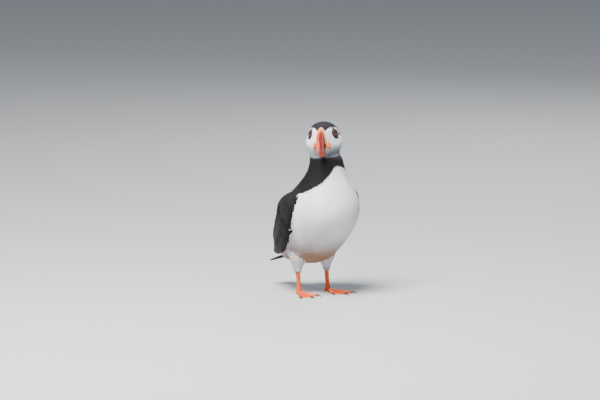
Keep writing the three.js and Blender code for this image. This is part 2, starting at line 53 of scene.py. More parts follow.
# ---------- Camera, floor and light ----------
FEET = np.array([0.0, -8.72, 0.0])
AZIMUTH = math.radians(-32)
ELEVATION = math.radians(8)
BACK = np.array([
    math.sin(AZIMUTH) * math.cos(ELEVATION),
    -math.cos(AZIMUTH) * math.cos(ELEVATION),
    math.sin(ELEVATION),
])
RIGHT = np.array([math.cos(AZIMUTH), math.sin(AZIMUTH), 0])
UP = np.cross(BACK, RIGHT)
PIXEL = 1.18  # millimetres at the bird to one pixel of the photo
LENS, SENSOR = 400, 36
DISTANCE = 7870
LEFT_OF_FEET, ABOVE_FEET = 14, 92.8  # the middle of the frame, in pixels
target = FEET - RIGHT * LEFT_OF_FEET * PIXEL + UP * ABOVE_FEET * PIXEL
camera_data = bpy.data.cameras.new("camera")
camera_data.lens = LENS
camera_data.sensor_width = SENSOR
camera_data.clip_end = 100
camera = bpy.data.objects.new("camera", camera_data)
bpy.context.collection.objects.link(camera)
camera.matrix_world = Matrix([list(row) for row in np.column_stack([RIGHT, UP, BACK])]).to_4x4()
camera.location = Vector((target + BACK * DISTANCE) * MM)
bpy.context.scene.camera = camera


def add_light(name, towards, distance, size, watts, colour):
    """A soft square light on the bird, from a direction: right of the camera, up, and towards it."""
    data = bpy.data.lights.new(name, "AREA")
    data.size = size
    data.energy = watts
    data.color = colour
    light = bpy.data.objects.new(name, data)
    bpy.context.collection.objects.link(light)
    direction = Vector(RIGHT * towards[0] + np.array([0, 0, 1]) * towards[1] + BACK * towards[2]).normalized()
    light.location = Vector((0, -0.01, 0.11)) + direction * distance
    light.rotation_euler = direction.to_track_quat("Z", "Y").to_euler()


add_light("key", (-0.38, 1.22, 0.75), 1.6, 0.8, 116, (1.0, 0.97, 0.93))
add_light("fill", (0.9, 0.25, 0.9), 2.2, 1.4, 6, (0.82, 0.9, 1.0))
add_light("rim", (0.3, 0.8, -1.0), 1.8, 0.7, 14, (0.95, 0.97, 1.0))
world = bpy.data.worlds.new("world")
world.use_nodes = True
sky = world.node_tree.nodes["Background"].inputs
sky["Color"].default_value = (0.7, 0.8, 0.95, 1)
sky["Strength"].default_value = 0.33
bpy.context.scene.world = world


# ---------- Frames and curves of the bird ----------
HEAD_CENTRE = np.array([-1.2, -31.22, 192.5])
HEAD_YAW, HEAD_PITCH, HEAD_ROLL = -39.5, 0.5, 2.5
# three.js order ZXY applies yaw last, then pitch, with roll nearest to the head
HEAD_TURN = np.array(
    Matrix.Rotation(math.radians(HEAD_YAW), 3, "Z")
    @ Matrix.Rotation(math.radians(HEAD_PITCH), 3, "X")
    @ Matrix.Rotation(math.radians(-HEAD_ROLL), 3, "Y")
)
EYE_SIDE, EYE_FORWARD, EYE_HEIGHT = 14.4, 6.5, 0.6
EYE_BARE = 4.3  # radius round the eye where no feather grows


def on_head(x, forward, up):
    """Points of the head: x to its left, forward to the bill, up from eye level."""
    local = np.stack(np.broadcast_arrays(x, -np.asarray(forward, float), up), axis=-1)
    return local @ HEAD_TURN.T + HEAD_CENTRE


HEAD_MIDDLE, HEAD_REACH = on_head(0, -1, -8), 32


def in_head(points):
    """For each point: how far to the head's left, forward and up it is."""
    local = (points - HEAD_CENTRE) @ HEAD_TURN
    return local[:, 0], -local[:, 1], local[:, 2]


# The trunk's middle line from the tail to the neck, y and z.
AXIS = np.array([
    [52, 40], [46, 44], [35, 52], [19, 65], [2, 82], [-11, 100], [-20, 117], [-25, 133], [-27.5, 148],
    [-29, 162], [-28, 176], [-27, 200],
], float)
AXIS[:, 0] += FEET[1]


def dense_axis():
    """The middle line in many small steps with its corners rounded, and its tangents."""
    share = np.linspace(0, len(AXIS) - 1, 240)
    index = np.arange(len(AXIS))
    line = np.stack([np.interp(share, index, AXIS[:, k]) for k in range(2)], axis=1)
    kernel = np.ones(15) / 15
    padded = np.pad(line, ((7, 7), (0, 0)), mode="edge")
    line = np.stack([np.convolve(padded[:, k], kernel, mode="valid") for k in range(2)], axis=1)
    tangent = np.gradient(line, axis=0)
    return line, tangent / np.linalg.norm(tangent, axis=1)[:, None]


AXIS_LINE, AXIS_TANGENT = dense_axis()


def around_trunk(points):
    """Degrees round the trunk from the breast's middle, left positive, and the way to the tail."""
    gap = points[:, None, 1:] - AXIS_LINE[None]
    nearest = np.argmin((gap**2).sum(axis=2), axis=1)
    up_body = AXIS_TANGENT[nearest]
    to_belly = np.stack([-up_body[:, 1], up_body[:, 0]], axis=1)
    across = points[:, 1:] - AXIS_LINE[nearest]
    angle = np.degrees(np.arctan2(points[:, 0], (across * to_belly).sum(axis=1)))
    tailward = np.column_stack([np.zeros(len(points)), -up_body])
    return angle, tailward


def step(low, high, value):
    """0 below low, 1 above high and smooth between."""
    t = np.clip((value - low) / (high - low), 0, 1)
    return t * t * (3 - 2 * t)


def table(value, *pairs):
    return np.interp(value, [p[0] for p in pairs], [p[1] for p in pairs])


# ---------- Meshes from arrays ----------
def make_object(name, points, faces, smooth=True):
    """A mesh object from points in millimetres and faces: equal rows, or a list of such arrays."""
    groups = faces if isinstance(faces, list) else [faces]
    mesh = bpy.data.meshes.new(name)
    mesh.vertices.add(len(points))
    mesh.vertices.foreach_set("co", (np.asarray(points, np.float32) * MM).ravel())
    corners = np.concatenate([np.asarray(g, np.int32).ravel() for g in groups])
    sizes = np.concatenate([np.full(len(g), np.asarray(g).shape[1], np.int32) for g in groups])
    mesh.loops.add(len(corners))
    mesh.loops.foreach_set("vertex_index", corners)
    mesh.polygons.add(len(sizes))
    mesh.polygons.foreach_set("loop_start", np.concatenate([[0], np.cumsum(sizes)[:-1]]).astype(np.int32))
    mesh.polygons.foreach_set("loop_total", sizes)
    mesh.polygons.foreach_set("use_smooth", np.full(len(sizes), smooth))
    mesh.update(calc_edges=True)
    mesh.validate()
    piece = bpy.data.objects.new(name, mesh)
    bpy.context.collection.objects.link(piece)
    return piece


def paint(piece, name, values):
    """A named value at every vertex: three columns make a colour and one column a number."""
    values = np.asarray(values, np.float32)
    if values.ndim == 2:
        layer = piece.data.attributes.new(name, "FLOAT_COLOR", "POINT")
        opaque = np.ones(len(values), np.float32)
        layer.data.foreach_set("color", np.column_stack([values, opaque]).ravel())
    else:
        layer = piece.data.attributes.new(name, "FLOAT", "POINT")
        layer.data.foreach_set("value", values)


def read(rows, field, width, kind=np.int32):
    """One field of a mesh's vertices, edges, corners or triangles, as an array with a row for each."""
    values = np.empty(len(rows) * width, kind)
    rows.foreach_get(field, values)
    return values.reshape(-1, width)


def read_points(mesh):
    return read(mesh.vertices, "co", 3, np.float32).astype(float) / MM


def unit(vectors):
    return vectors / np.maximum(np.linalg.norm(vectors, axis=-1, keepdims=True), 1e-9)


class Surface:
    """A closed surface as arrays, with fast places and normals near any point."""

    def __init__(self, points, triangles, edges):
        self.points, self.triangles, self.edges = points, triangles, edges
        self.refresh()

    def refresh(self):
        corner = self.points[self.triangles]
        cross = np.cross(corner[:, 1] - corner[:, 0], corner[:, 2] - corner[:, 0])
        normals = np.zeros_like(self.points)
        for k in range(3):
            np.add.at(normals, self.triangles[:, k], cross)
        self.normals = unit(normals)
        self.areas = np.linalg.norm(cross, axis=1) / 2
        self.tree = KDTree(len(self.points))
        for i, p in enumerate(self.points):
            self.tree.insert(p, i)
        self.tree.balance()

    def mean_of_neighbours(self, values):
        into, out = np.concatenate([self.edges, self.edges[:, ::-1]]).T
        count = np.bincount(into, minlength=len(values))
        total = [np.bincount(into, column[out], len(values)) for column in values.T]
        return np.stack(total, axis=1) / count[:, None]

    def smooth(self, rounds):
        """Smoothing in rounds that shrink and swell by turns, so that the size is kept."""
        for i in range(rounds):
            share = 0.5 if i % 2 == 0 else -0.33
            self.points = self.points + share * (self.mean_of_neighbours(self.points) - self.points)

    def nearest(self, points):
        find = self.tree.find
        return np.fromiter((find(p)[1] for p in points), np.int64, len(points))

    def on(self, points):
        """The points dropped onto the surface, and the nearest vertex of each."""
        index = self.nearest(points)
        normals = self.normals[index]
        away = ((points - self.points[index]) * normals).sum(axis=1)
        return points - normals * away[:, None], index


# ---------- The body's outer form ----------
FLESH = ["head", "neck", "trunk", "tail_coverts", "leg_left", "leg_right", "wing_left", "wing_right"]
RIMS = ["bill_rim_upper", "bill_rim_lower"]  # they fill the head's pocket, so the skin closes under the bill
JOIN = 0.5  # each solid is swollen by this to close the gaps between them
VOXEL = 0.95


def swollen(names, by):
    """The named solids in one mesh, each moved outwards along its normals."""
    joined = bmesh.new()
    for name in names:
        part = bmesh.new()
        part.from_mesh(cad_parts[name].data)
        bmesh.ops.remove_doubles(part, verts=part.verts, dist=1e-6)
        part.normal_update()
        for vertex in part.verts:
            vertex.co += vertex.normal * by * MM
        loose = bpy.data.meshes.new("loose")
        part.to_mesh(loose)
        part.free()
        joined.from_mesh(loose)
        bpy.data.meshes.remove(loose)
    mesh = bpy.data.meshes.new("joined")
    joined.to_mesh(mesh)
    joined.free()
    return mesh


def remeshed(names, by, voxel):
    """One closed surface round the named solids."""
    holder = bpy.data.objects.new("holder", swollen(names, by))
    bpy.context.collection.objects.link(holder)
    modifier = holder.modifiers.new("remesh", "REMESH")
    modifier.mode = "VOXEL"
    modifier.voxel_size = voxel * MM
    evaluated = holder.evaluated_get(bpy.context.evaluated_depsgraph_get())
    mesh = evaluated.to_mesh()
    mesh.calc_loop_triangles()
    triangles = read(mesh.loop_triangles, "vertices", 3)
    surface = Surface(read_points(mesh), triangles, read(mesh.edges, "vertices", 2))
    evaluated.to_mesh_clear()
    joined = holder.data
    bpy.data.objects.remove(holder)
    bpy.data.meshes.remove(joined)
    return surface


def distance_to(name, points, reach=4.0):
    """How far each point is from a solid, up to the reach."""
    part = bmesh.new()
    part.from_mesh(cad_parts[name].data)
    tree = BVHTree.FromBMesh(part)
    part.free()
    low, high = (np.array(corner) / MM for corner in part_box(name))
    away = np.full(len(points), reach)
    inside = np.all((points > low - reach) & (points < high + reach), axis=1)
    for i in np.flatnonzero(inside):
        found = tree.find_nearest(Vector(points[i] * MM), reach * MM)
        if found[3] is not None:
            away[i] = found[3] / MM
    return away


form = remeshed(FLESH + RIMS, JOIN, VOXEL)
form.smooth(10)
form.refresh()


def melt(surface, weight, rounds):
    """Plain smoothing where the weight is 1, which fills ledges and hollows."""
    for _ in range(rounds):
        inward = surface.mean_of_neighbours(surface.points) - surface.points
        surface.points += weight[:, None] * 0.5 * inward


def mellow(surface, weight, rounds):
    """Smoothing that takes out facets and gives back the size that plain smoothing loses."""
    lost = surface.points.copy()
    melt(surface, weight, rounds)
    lost -= surface.points
    for _ in range(rounds):
        lost += weight[:, None] * 0.5 * (surface.mean_of_neighbours(lost) - lost)
    surface.points += lost


# Height bands to smooth: where each rises from nothing to full, and where it falls off again
BREAST_BAND = (48, 66), (140, 152)
COLLAR_BAND = (150, 160), (172, 182)
NECK_BAND = (100, 110), (150, 158)
CRACK_REACH = 4.5  # from trunk and wing at once, along each wing's back edge


def band(height, rise, fall):
    return step(*rise, height) * (1 - step(*fall, height))


_, forward, _ = in_head(form.points)
height = form.points[:, 2]
from_breast = np.abs(around_trunk(form.points)[0])
mellow(form, band(height, *BREAST_BAND) * step(88, 66, from_breast), 110)
melt(form, band(height, *COLLAR_BAND) * step(17, 11, forward), 90)
melt(form, band(height, *NECK_BAND) * 0.5, 25)
rims = np.minimum(*[distance_to(name, form.points, 3) for name in RIMS])
melt(form, step(3, 1, rims), 14)
beside_trunk = distance_to("trunk", form.points, 5) < CRACK_REACH
beside_wing = np.minimum(*[distance_to("wing_" + name, form.points, 5) for name in SIDES]) < CRACK_REACH
crack = (beside_trunk & beside_wing).astype(float)
for _ in range(3):
    crack = form.mean_of_neighbours(crack[:, None])[:, 0]
behind = step(95, 112, np.abs(around_trunk(form.points)[0]))
melt(form, crack * behind, 60)


# ---------- Regions, head sculpting and the lie of the feathers ----------
def near_any(points, names, reach=1.6):
    return np.any([distance_to(name, points) < reach for name in names], axis=0)


def bump_at(forward, up, at_forward, at_up, radius, depth):
    return depth * np.exp(-(((forward - at_forward) / radius) ** 2) - ((up - at_up) / radius) ** 2)


CREASE = [(2.5, -1.2), (-3, -2.6), (-9, -4.0), (-15, -6.5)]  # behind the eye: forward, up


def crease_distance(forward, up):
    """How far a place on the head's side is from the crease, and how far back along it."""
    best = np.full(len(forward), 1e3)
    share = np.zeros(len(forward))
    for k in range(len(CREASE) - 1):
        a, b = np.array(CREASE[k]), np.array(CREASE[k + 1])
        way = b - a
        t = np.clip(((forward - a[0]) * way[0] + (up - a[1]) * way[1]) / (way @ way), 0, 1)
        away = np.hypot(forward - a[0] - t * way[0], up - a[1] - t * way[1])
        closer = away < best
        best = np.where(closer, away, best)
        share = np.where(closer, (k + t) / (len(CREASE) - 1), share)
    return best, share


form.refresh()
form.points -= form.normals * JOIN
side_x, forward, up = in_head(form.points)
on_side = step(5, 9, np.abs(side_x)) * step(-32, -28, up)
crease, along_crease = crease_distance(forward, up)
groove = -1.25 * np.exp(-((crease / 1.4) ** 2)) * (1 - 0.7 * along_crease)
sculpt = (
    bump_at(forward, up, 4, 9, 7, 1.3)
    + bump_at(forward, up, -1, -13, 9, 1.5)
    + bump_at(forward, up, 13, -4, 6, -0.5)
    + bump_at(forward, up, -6, 1.5, 5, 0.5)
    + groove
)
form.points += form.normals * (sculpt * on_side)[:, None]
form.refresh()

points = form.points
girth, tailward = around_trunk(points)
is_wing = near_any(points, ["wing_left", "wing_right"])
is_leg = near_any(points, ["leg_left", "leg_right"]) & (points[:, 2] < 60)
is_head = (points[:, 2] > 160) & (np.linalg.norm(points - HEAD_MIDDLE, axis=1) < HEAD_REACH)

WING_TIP = np.array([15.0, 64.0, 41.0])  # of the left wing
head_back = np.array(on_head(0, -1, -0.25)) - HEAD_CENTRE
bill_root = on_head(0, 22, -4)
flow = tailward.copy()
from_bill = unit(points - bill_root)
to_nape = from_bill + 0.9 * unit(head_back) + np.array([0, 0, -1.0]) * step(-2, -18, up)[:, None] * 0.8
blend = step(160, 176, points[:, 2])[:, None] * is_head[:, None]
flow = unit(flow * (1 - blend) + unit(to_nape) * blend)
flow[is_leg] = [0, 0.12, -1]
for side in SIDES.values():
    mine = is_wing & (np.sign(points[:, 0]) == side)
    flow[mine] = unit(unit(WING_TIP * [side, 1, 1] - points[mine]) + 0.8 * tailward[mine])
for _ in range(12):
    flow = form.mean_of_neighbours(flow)
    flow = unit(flow - form.normals * (flow * form.normals).sum(axis=1)[:, None])

eyes = [on_head(side * EYE_SIDE, EYE_FORWARD, EYE_HEIGHT) for side in SIDES.values()]
near_eye = np.minimum(*[np.linalg.norm(points - eye, axis=1) for eye in eyes])

# How deep the coat is, so how far the skin lies inside the outer form
LIMB_COAT, HEAD_COAT, BODY_COAT, RIM_TUCK = 1.3, 1.1, 2.4, 0.9
depth = np.select([is_wing, is_leg, is_head], [LIMB_COAT, LIMB_COAT, HEAD_COAT], BODY_COAT)
depth = np.where(is_head, np.minimum(depth, 0.35 + 0.09 * np.maximum(near_eye - 5, 0)), depth)
for _ in range(8):
    depth = form.mean_of_neighbours(depth[:, None])[:, 0]
depth += RIM_TUCK * step(2.4, 1.0, rims)  # tucked under the bill's rims


# ---------- Markings, with painted shade and sheen, shared by skin and coat ---
def linear(*srgb):
    values = np.array(srgb) / 255
    return np.where(values < 0.04045, values / 12.92, ((values + 0.055) / 1.055) ** 2.4)


BLACK = linear(20, 18, 21)
# the crown's black, lifted to dark grey as painted sheen
CROWN_WITH_SHEEN = linear(34, 31, 37)
WHITE = linear(238, 239, 240)
FACE = linear(226, 228, 234)
# grey of the lower face: its own pale grey, deepened by painted shade
FACE_GREY_AND_SHADE = linear(90, 93, 100)
DUSKY = linear(128, 120, 120)
# dark grey of the crease line behind the eye, also used as painted shade round the eye
CREASE_LINE_AND_EYE_SHADE = linear(58, 50, 52)
# brown low on the belly: earth stain with painted shade and painted warm reflection
SOIL_AND_SHADE = linear(124, 84, 46)
THIGH = linear(196, 196, 200)
COOL_WHITE = linear(206, 209, 217)
SHADED_WHITE = linear(150, 150, 154)
# Where the colours meet: the white front's top by degrees round the trunk, and its half width by height
WHITE_TOP = [(-100, 112), (-85, 125), (-60, 133), (-40, 140), (-20, 150), (-8, 156), (0, 158),
             (15, 157), (35, 155), (55, 151), (75, 141), (100, 122)]
WHITE_WIDTH = [(30, 74), (48, 84), (60, 102), (200, 102)]
# The crown's edge in degrees above level, and the throat's edge up the head, both by place forward
CROWN_EDGE = [(-23, -45), (-19, -22), (-14, -5), (-8, 7), (-3, 17), (3, 27), (8, 35), (13, 41), (19, 45),
              (24, 50)]
THROAT_EDGE = [(-21, -10), (-15, -17), (-8, -22.5), (0, -25.5), (8, -26.5), (15, -26.3), (24, -25.5)]


def mix(a, b, share):
    share = np.asarray(share, float)[..., None]
    return a * (1 - share) + b * share


def waver(points, size, seed):
    """A smooth irregular value about 0, the same wherever it is asked for the same place."""
    rng = np.random.default_rng(seed)
    total = 0
    for _ in range(5):
        way = rng.normal(size=3) * 2.2 / size
        total = total + np.sin(points @ way + rng.uniform(0, 6.28))
    return total / 5


def markings(points, wing, leg):
    """The colour of the plumage at each place, with painted shade low on the front, on the lower face and
    round the eyes, earth stain with painted warm reflection low on the belly, and painted sheen on the crown.
    """
    girth, _ = around_trunk(points)
    z = points[:, 2]
    ragged = waver(points, 5, 3) * 0.8 + waver(points, 1.6, 4) * 0.6
    top = table(girth, *WHITE_TOP)
    width = table(z, *WHITE_WIDTH)
    white = step(-0.8, 0.8, top - z + ragged) * step(-1.5, 1.5, width - np.abs(girth) + ragged)
    white = white * ~wing
    clean = mix(WHITE, COOL_WHITE, 0.5 + 0.5 * waver(points, 14, 5))
    clean = mix(clean, SHADED_WHITE, 0.62 * (1 - step(40, 118, z)))
    # Browner towards the bottom of the front: earth stain with painted shade and painted warm reflection under
    # the belly
    soil_and_shade = (1 - step(42, 78, z)) * (0.9 + 0.25 * waver(points, 9, 6))
    clean = mix(clean, SOIL_AND_SHADE, np.clip(soil_and_shade, 0, 0.85) * (1 - step(50, 88, np.abs(girth))))
    clean = np.where(leg[:, None], mix(THIGH, WHITE, step(34, 60, z) * 0.6), clean)
    dark = BLACK * (1 + 0.22 * waver(points, 12, 8))[:, None]
    colour = mix(dark, clean, np.where(leg, 1.0, white))

    x, forward, up = in_head(points)
    head = step(163, 165.5, z) * (np.linalg.norm(points - HEAD_MIDDLE, axis=1) < HEAD_REACH + 2)
    lift = np.degrees(np.arctan2(up, np.abs(x)))
    crown_edge = table(forward, *CROWN_EDGE)
    throat_edge = table(forward, *THROAT_EDGE)
    in_face = step(-3, 3, crown_edge - lift + ragged * 1.5) * step(-0.7, 0.7, up - throat_edge + ragged * 0.6)
    rear = ((forward + 2) / 20.5) ** 2 + ((up + 8) / 16.5) ** 2
    in_face = in_face * np.where(forward < -2, step(1.08, 0.94, rear + 0.03 * ragged), 1)
    # Greyer low on the face and a little towards the rear: partly the face's own grey, partly painted shade
    # under the head
    grey = step(-8, -23, up) * 0.88 + 0.15 * step(0, -16, forward)
    face = mix(FACE, FACE_GREY_AND_SHADE, np.clip(grey, 0, 1))
    crease, along = crease_distance(forward, up)
    above = step(0, 2.5, up - table(forward, *CREASE[::-1]))
    behind_eye = step(5, -1, forward) * above
    face = mix(face, DUSKY, np.clip(behind_eye * 0.85, 0, 1))
    face = mix(face, CREASE_LINE_AND_EYE_SHADE, np.exp(-((crease / 1.1) ** 2)) * (1 - 0.8 * along))
    # Painted shade on the feathers round the eye, where the plates and the eye's hollow shade them
    eye_gap = np.hypot(forward - EYE_FORWARD, up - EYE_HEIGHT)
    face = mix(face, CREASE_LINE_AND_EYE_SHADE, (1 - step(5.0, 6.4, eye_gap)) * 0.75)
    # The crown's black, lifted to dark grey as painted sheen, with random variation
    crown = CROWN_WITH_SHEEN * (1 + 0.2 * waver(points, 6, 9))[:, None]
    head_colour = mix(crown, face, in_face)
    return np.clip(mix(colour, head_colour, head), 0.004, 1)


# ---------- Materials ----------
class Look:
    """A procedural material: its textures, and what feeds the sockets of its shader."""

    def __init__(self, name):
        self.material = bpy.data.materials.new(name)
        self.material.use_nodes = True
        self.tree = self.material.node_tree
        self.shader = self.tree.nodes["Principled BSDF"]
        self.place = self.node("ShaderNodeTexCoord").outputs["Object"]

    def feed(self, socket, value):
        """A socket linked to an output, or set to a number."""
        if isinstance(value, bpy.types.NodeSocket):
            self.tree.links.new(value, socket)
        else:
            socket.default_value = value

    def node(self, kind, **inputs):
        made = self.tree.nodes.new(kind)
        for key, value in inputs.items():
            if key.startswith("set_"):
                setattr(made, key[4:], value)
            else:
                self.feed(made.inputs[key], value)
        return made

    def painted(self, name, output="Fac"):
        return self.node("ShaderNodeAttribute", set_attribute_name=name).outputs[output]

    def noise(self, scale, detail):
        return self.node("ShaderNodeTexNoise", Vector=self.place, Scale=scale, Detail=detail).outputs["Fac"]

    def cells(self, scale, feature="F1"):
        made = self.node("ShaderNodeTexVoronoi", set_feature=feature, Vector=self.place, Scale=scale)
        return made.outputs["Distance"]

    def math(self, operation, *values):
        made = self.node("ShaderNodeMath", set_operation=operation)
        for socket, value in zip(made.inputs, values):
            self.feed(socket, value)
        return made.outputs[0]

    def ramp(self, source, *stops):
        """A colour ramp fed by a number, from (place, grey or colour) stops."""
        made = self.node("ShaderNodeValToRGB", Fac=source)
        stops = [(place, (*np.broadcast_to(tone, 3).tolist(), 1)) for place, tone in stops]
        elements = made.color_ramp.elements
        elements[0].position, elements[0].color = stops[0]
        elements[1].position, elements[1].color = stops[-1]
        for place, colour in stops[1:-1]:
            elements.new(place).color = colour
        return made.outputs["Color"]

    def base(self, *factors):
        """The base colour: what is painted on the piece, times each factor."""
        colour = self.painted("marking", "Color")
        for factor in factors:
            made = self.node("ShaderNodeMix", set_data_type="RGBA", set_blend_type="MULTIPLY",
                             Factor=1, A=colour, B=factor)
            colour = made.outputs["Result"]
        self.feed(self.shader.inputs["Base Color"], colour)

    def rough(self, source, *stops):
        self.feed(self.shader.inputs["Roughness"], self.ramp(source, *stops))

    def bump(self, source, strength, distance):
        made = self.node("ShaderNodeBump", Strength=strength, Distance=distance, Height=source)
        self.feed(self.shader.inputs["Normal"], made.outputs["Normal"])


def plumage_look():
    """Vanes with fine slanting barbs, darker towards the root as painted shade under the feathers above, and a
    little lighter at the tip, partly the pale edge and partly a painted highlight.
    """
    look = Look("plumage")
    noise, along = look.noise(900, 3), look.painted("along")
    # Darker at the root as painted shade; lighter at the tip, partly pale edge and partly painted highlight
    look.base(look.ramp(noise, (0.3, 0.86), (0.7, 1.08)), look.ramp(along, (0, 0.6), (0.55, 0.95), (1, 1.06)))
    slant = look.math("MULTIPLY_ADD", look.painted("across"), 22, look.math("MULTIPLY", along, 30))
    look.bump(look.math("SINE", slant), 0.35, 0.0001)
    look.rough(noise, (0.3, 0.62), (0.7, 0.85))
    look.shader.inputs["Specular IOR Level"].default_value = 0.14
    look.shader.inputs["Sheen Weight"].default_value = 0.03
    look.shader.inputs["Sheen Roughness"].default_value = 0.5
    return look


def skin_look():
    look = Look("plumage_skin")
    noise = look.noise(700, 5)
    look.base(look.ramp(noise, (0.25, 0.55), (0.75, 0.9)))
    look.bump(noise, 0.5, 0.0003)
    look.rough(noise, (0.3, 0.75), (0.7, 0.92))
    return look


def horn_look():
    look = Look("bill_horn")
    fine = look.noise(1400, 6)
    look.base(look.ramp(look.noise(220, 4), (0.3, (0.78, 0.76, 0.76)), (0.7, (1.1, 1.1, 1.08))))
    look.rough(fine, (0.3, 0.28), (0.7, 0.48))
    look.bump(fine, 0.35, 0.0002)
    return look


def pitted_look():
    look = Look("bill_cere")
    pits = look.cells(1500)
    look.base(look.ramp(pits, (0, (0.7, 0.62, 0.55)), (0.45, 1.05)))
    look.rough(pits, (0, 0.75), (0.6, 0.45))
    look.bump(pits, 0.7, 0.0003)
    return look


def eye_look():
    look = Look("eye")
    noise = look.noise(1600, 3)
    look.base(look.ramp(noise, (0.3, 0.7), (0.7, 1.2)))
    look.rough(noise, (0.2, 0.05), (0.8, 0.09))
    look.shader.inputs["Coat Weight"].default_value = 1.0
    look.shader.inputs["Coat Roughness"].default_value = 0.03
    return look


def wrinkled_look(name, scale, low, high, smooth, dull, depth=0.0003):
    """Leathery: cells between fine creases, from low to high in tone and from smooth to dull in gloss."""
    look = Look(name)
    creases, noise = look.cells(scale, "DISTANCE_TO_EDGE"), look.noise(scale * 0.5, 4)
    cloud = look.ramp(noise, (0.3, (0.85, 0.82, 0.8)), (0.7, 1.1))
    look.base(look.ramp(creases, (0, low), (0.12, high)), cloud)
    look.rough(noise, (0.3, smooth), (0.7, dull))
    look.bump(creases, 0.6, depth)
    return look


def floor_look():
    look = Look("pale_floor")
    noise = look.noise(220, 4)
    tone = look.ramp(noise, (0.3, (0.42, 0.43, 0.44)), (0.7, (0.48, 0.485, 0.49)))
    look.feed(look.shader.inputs["Base Color"], tone)
    look.bump(noise, 0.1, 0.0003)
    look.shader.inputs["Roughness"].default_value = 0.8
    return look


FEATHER_LOOK = plumage_look()


def finish_piece(piece, look, slot, *nodes):
    """The piece's material, the solids that it stands for, and its body; the slot is not used."""
    piece.data.materials.append(look.material)
    if nodes:
        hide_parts(*nodes)
    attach(piece, "root")


# ---------- Skin ----------
skin_points = form.points - form.normals * depth[:, None]
skin = make_object("skin", skin_points, form.triangles)
paint(skin, "marking", markings(form.points, is_wing, is_leg))
bpy.context.view_layer.objects.active = skin
skin.select_set(True)
bpy.ops.object.mode_set(mode="EDIT")
bpy.ops.mesh.select_all(action="SELECT")
bpy.ops.uv.smart_project(angle_limit=math.radians(70), island_margin=0.01)
bpy.ops.object.mode_set(mode="OBJECT")
skin.data.uv_layers[0].name = "OFBake"
finish_piece(skin, skin_look(), "white_feathers", *FLESH)


# ---------- Coat ----------
skin_uv = np.zeros((len(form.points), 2))
unwrap = skin.data.uv_layers["OFBake"]
skin_uv[read(skin.data.loops, "vertex_index", 1)[:, 0]] = read(unwrap.data, "uv", 2, np.float32)
PATCH = 0.0015  # half the width of a tuft's patch on the unwrap
VANE_ACROSS = np.array([-1.0, 0.0, 1.0])
TRIES = 3  # places drawn for each cell
APART = 0.72  # of the cell's size, the least gap between two places


def gap_squared(a, b):
    return (a[0] - b[0]) ** 2 + (a[1] - b[1]) ** 2 + (a[2] - b[2]) ** 2


def scattered(mask, spacing):
    """Places spread over the masked part of the form, about one in each cell of the given size."""
    inside = mask[form.triangles].any(axis=1)
    chosen = form.triangles[inside]
    areas = form.areas[inside]
    count = int(areas.sum() / spacing**2 * TRIES)
    pick = random.choice(len(chosen), count, p=areas / areas.sum())
    a, b = random.random((2, count, 1))
    flip = (a + b) > 1
    a, b = np.where(flip, 1 - a, a), np.where(flip, 1 - b, b)
    corner = form.points[chosen[pick]]
    places = corner[:, 0] * (1 - a - b) + corner[:, 1] * a + corner[:, 2] * b
    taken = {}
    keep = []
    offsets = [(i, j, k) for i in (-1, 0, 1) for j in (-1, 0, 1) for k in (-1, 0, 1)]
    cells = np.floor(places / spacing).astype(int)
    near = (APART * spacing) ** 2
    for i, (cell, place) in enumerate(zip(map(tuple, cells), places.tolist())):
        x, y, z = cell
        beside = (taken.get((x + dx, y + dy, z + dz), ()) for dx, dy, dz in offsets)
        if not any(gap_squared(place, other) < near for others in beside for other in others):
            taken.setdefault(cell, []).append(place)
            keep.append(i)
    return places[keep]


def spaced(count):
    """Stations from a feather's root at 0 to its tip at 1, closer together towards the tip."""
    return 1 - (1 - np.linspace(0, 1, count)) ** 1.5


def outline(t, tip):
    """How wide a feather is along its length, as a share of its half width."""
    base = 0.5 + 0.5 * step(0, 0.3, t)
    return base * np.sqrt(np.clip(1 - ((t - 0.45) / 0.55).clip(0) ** tip, 0.0, 1))


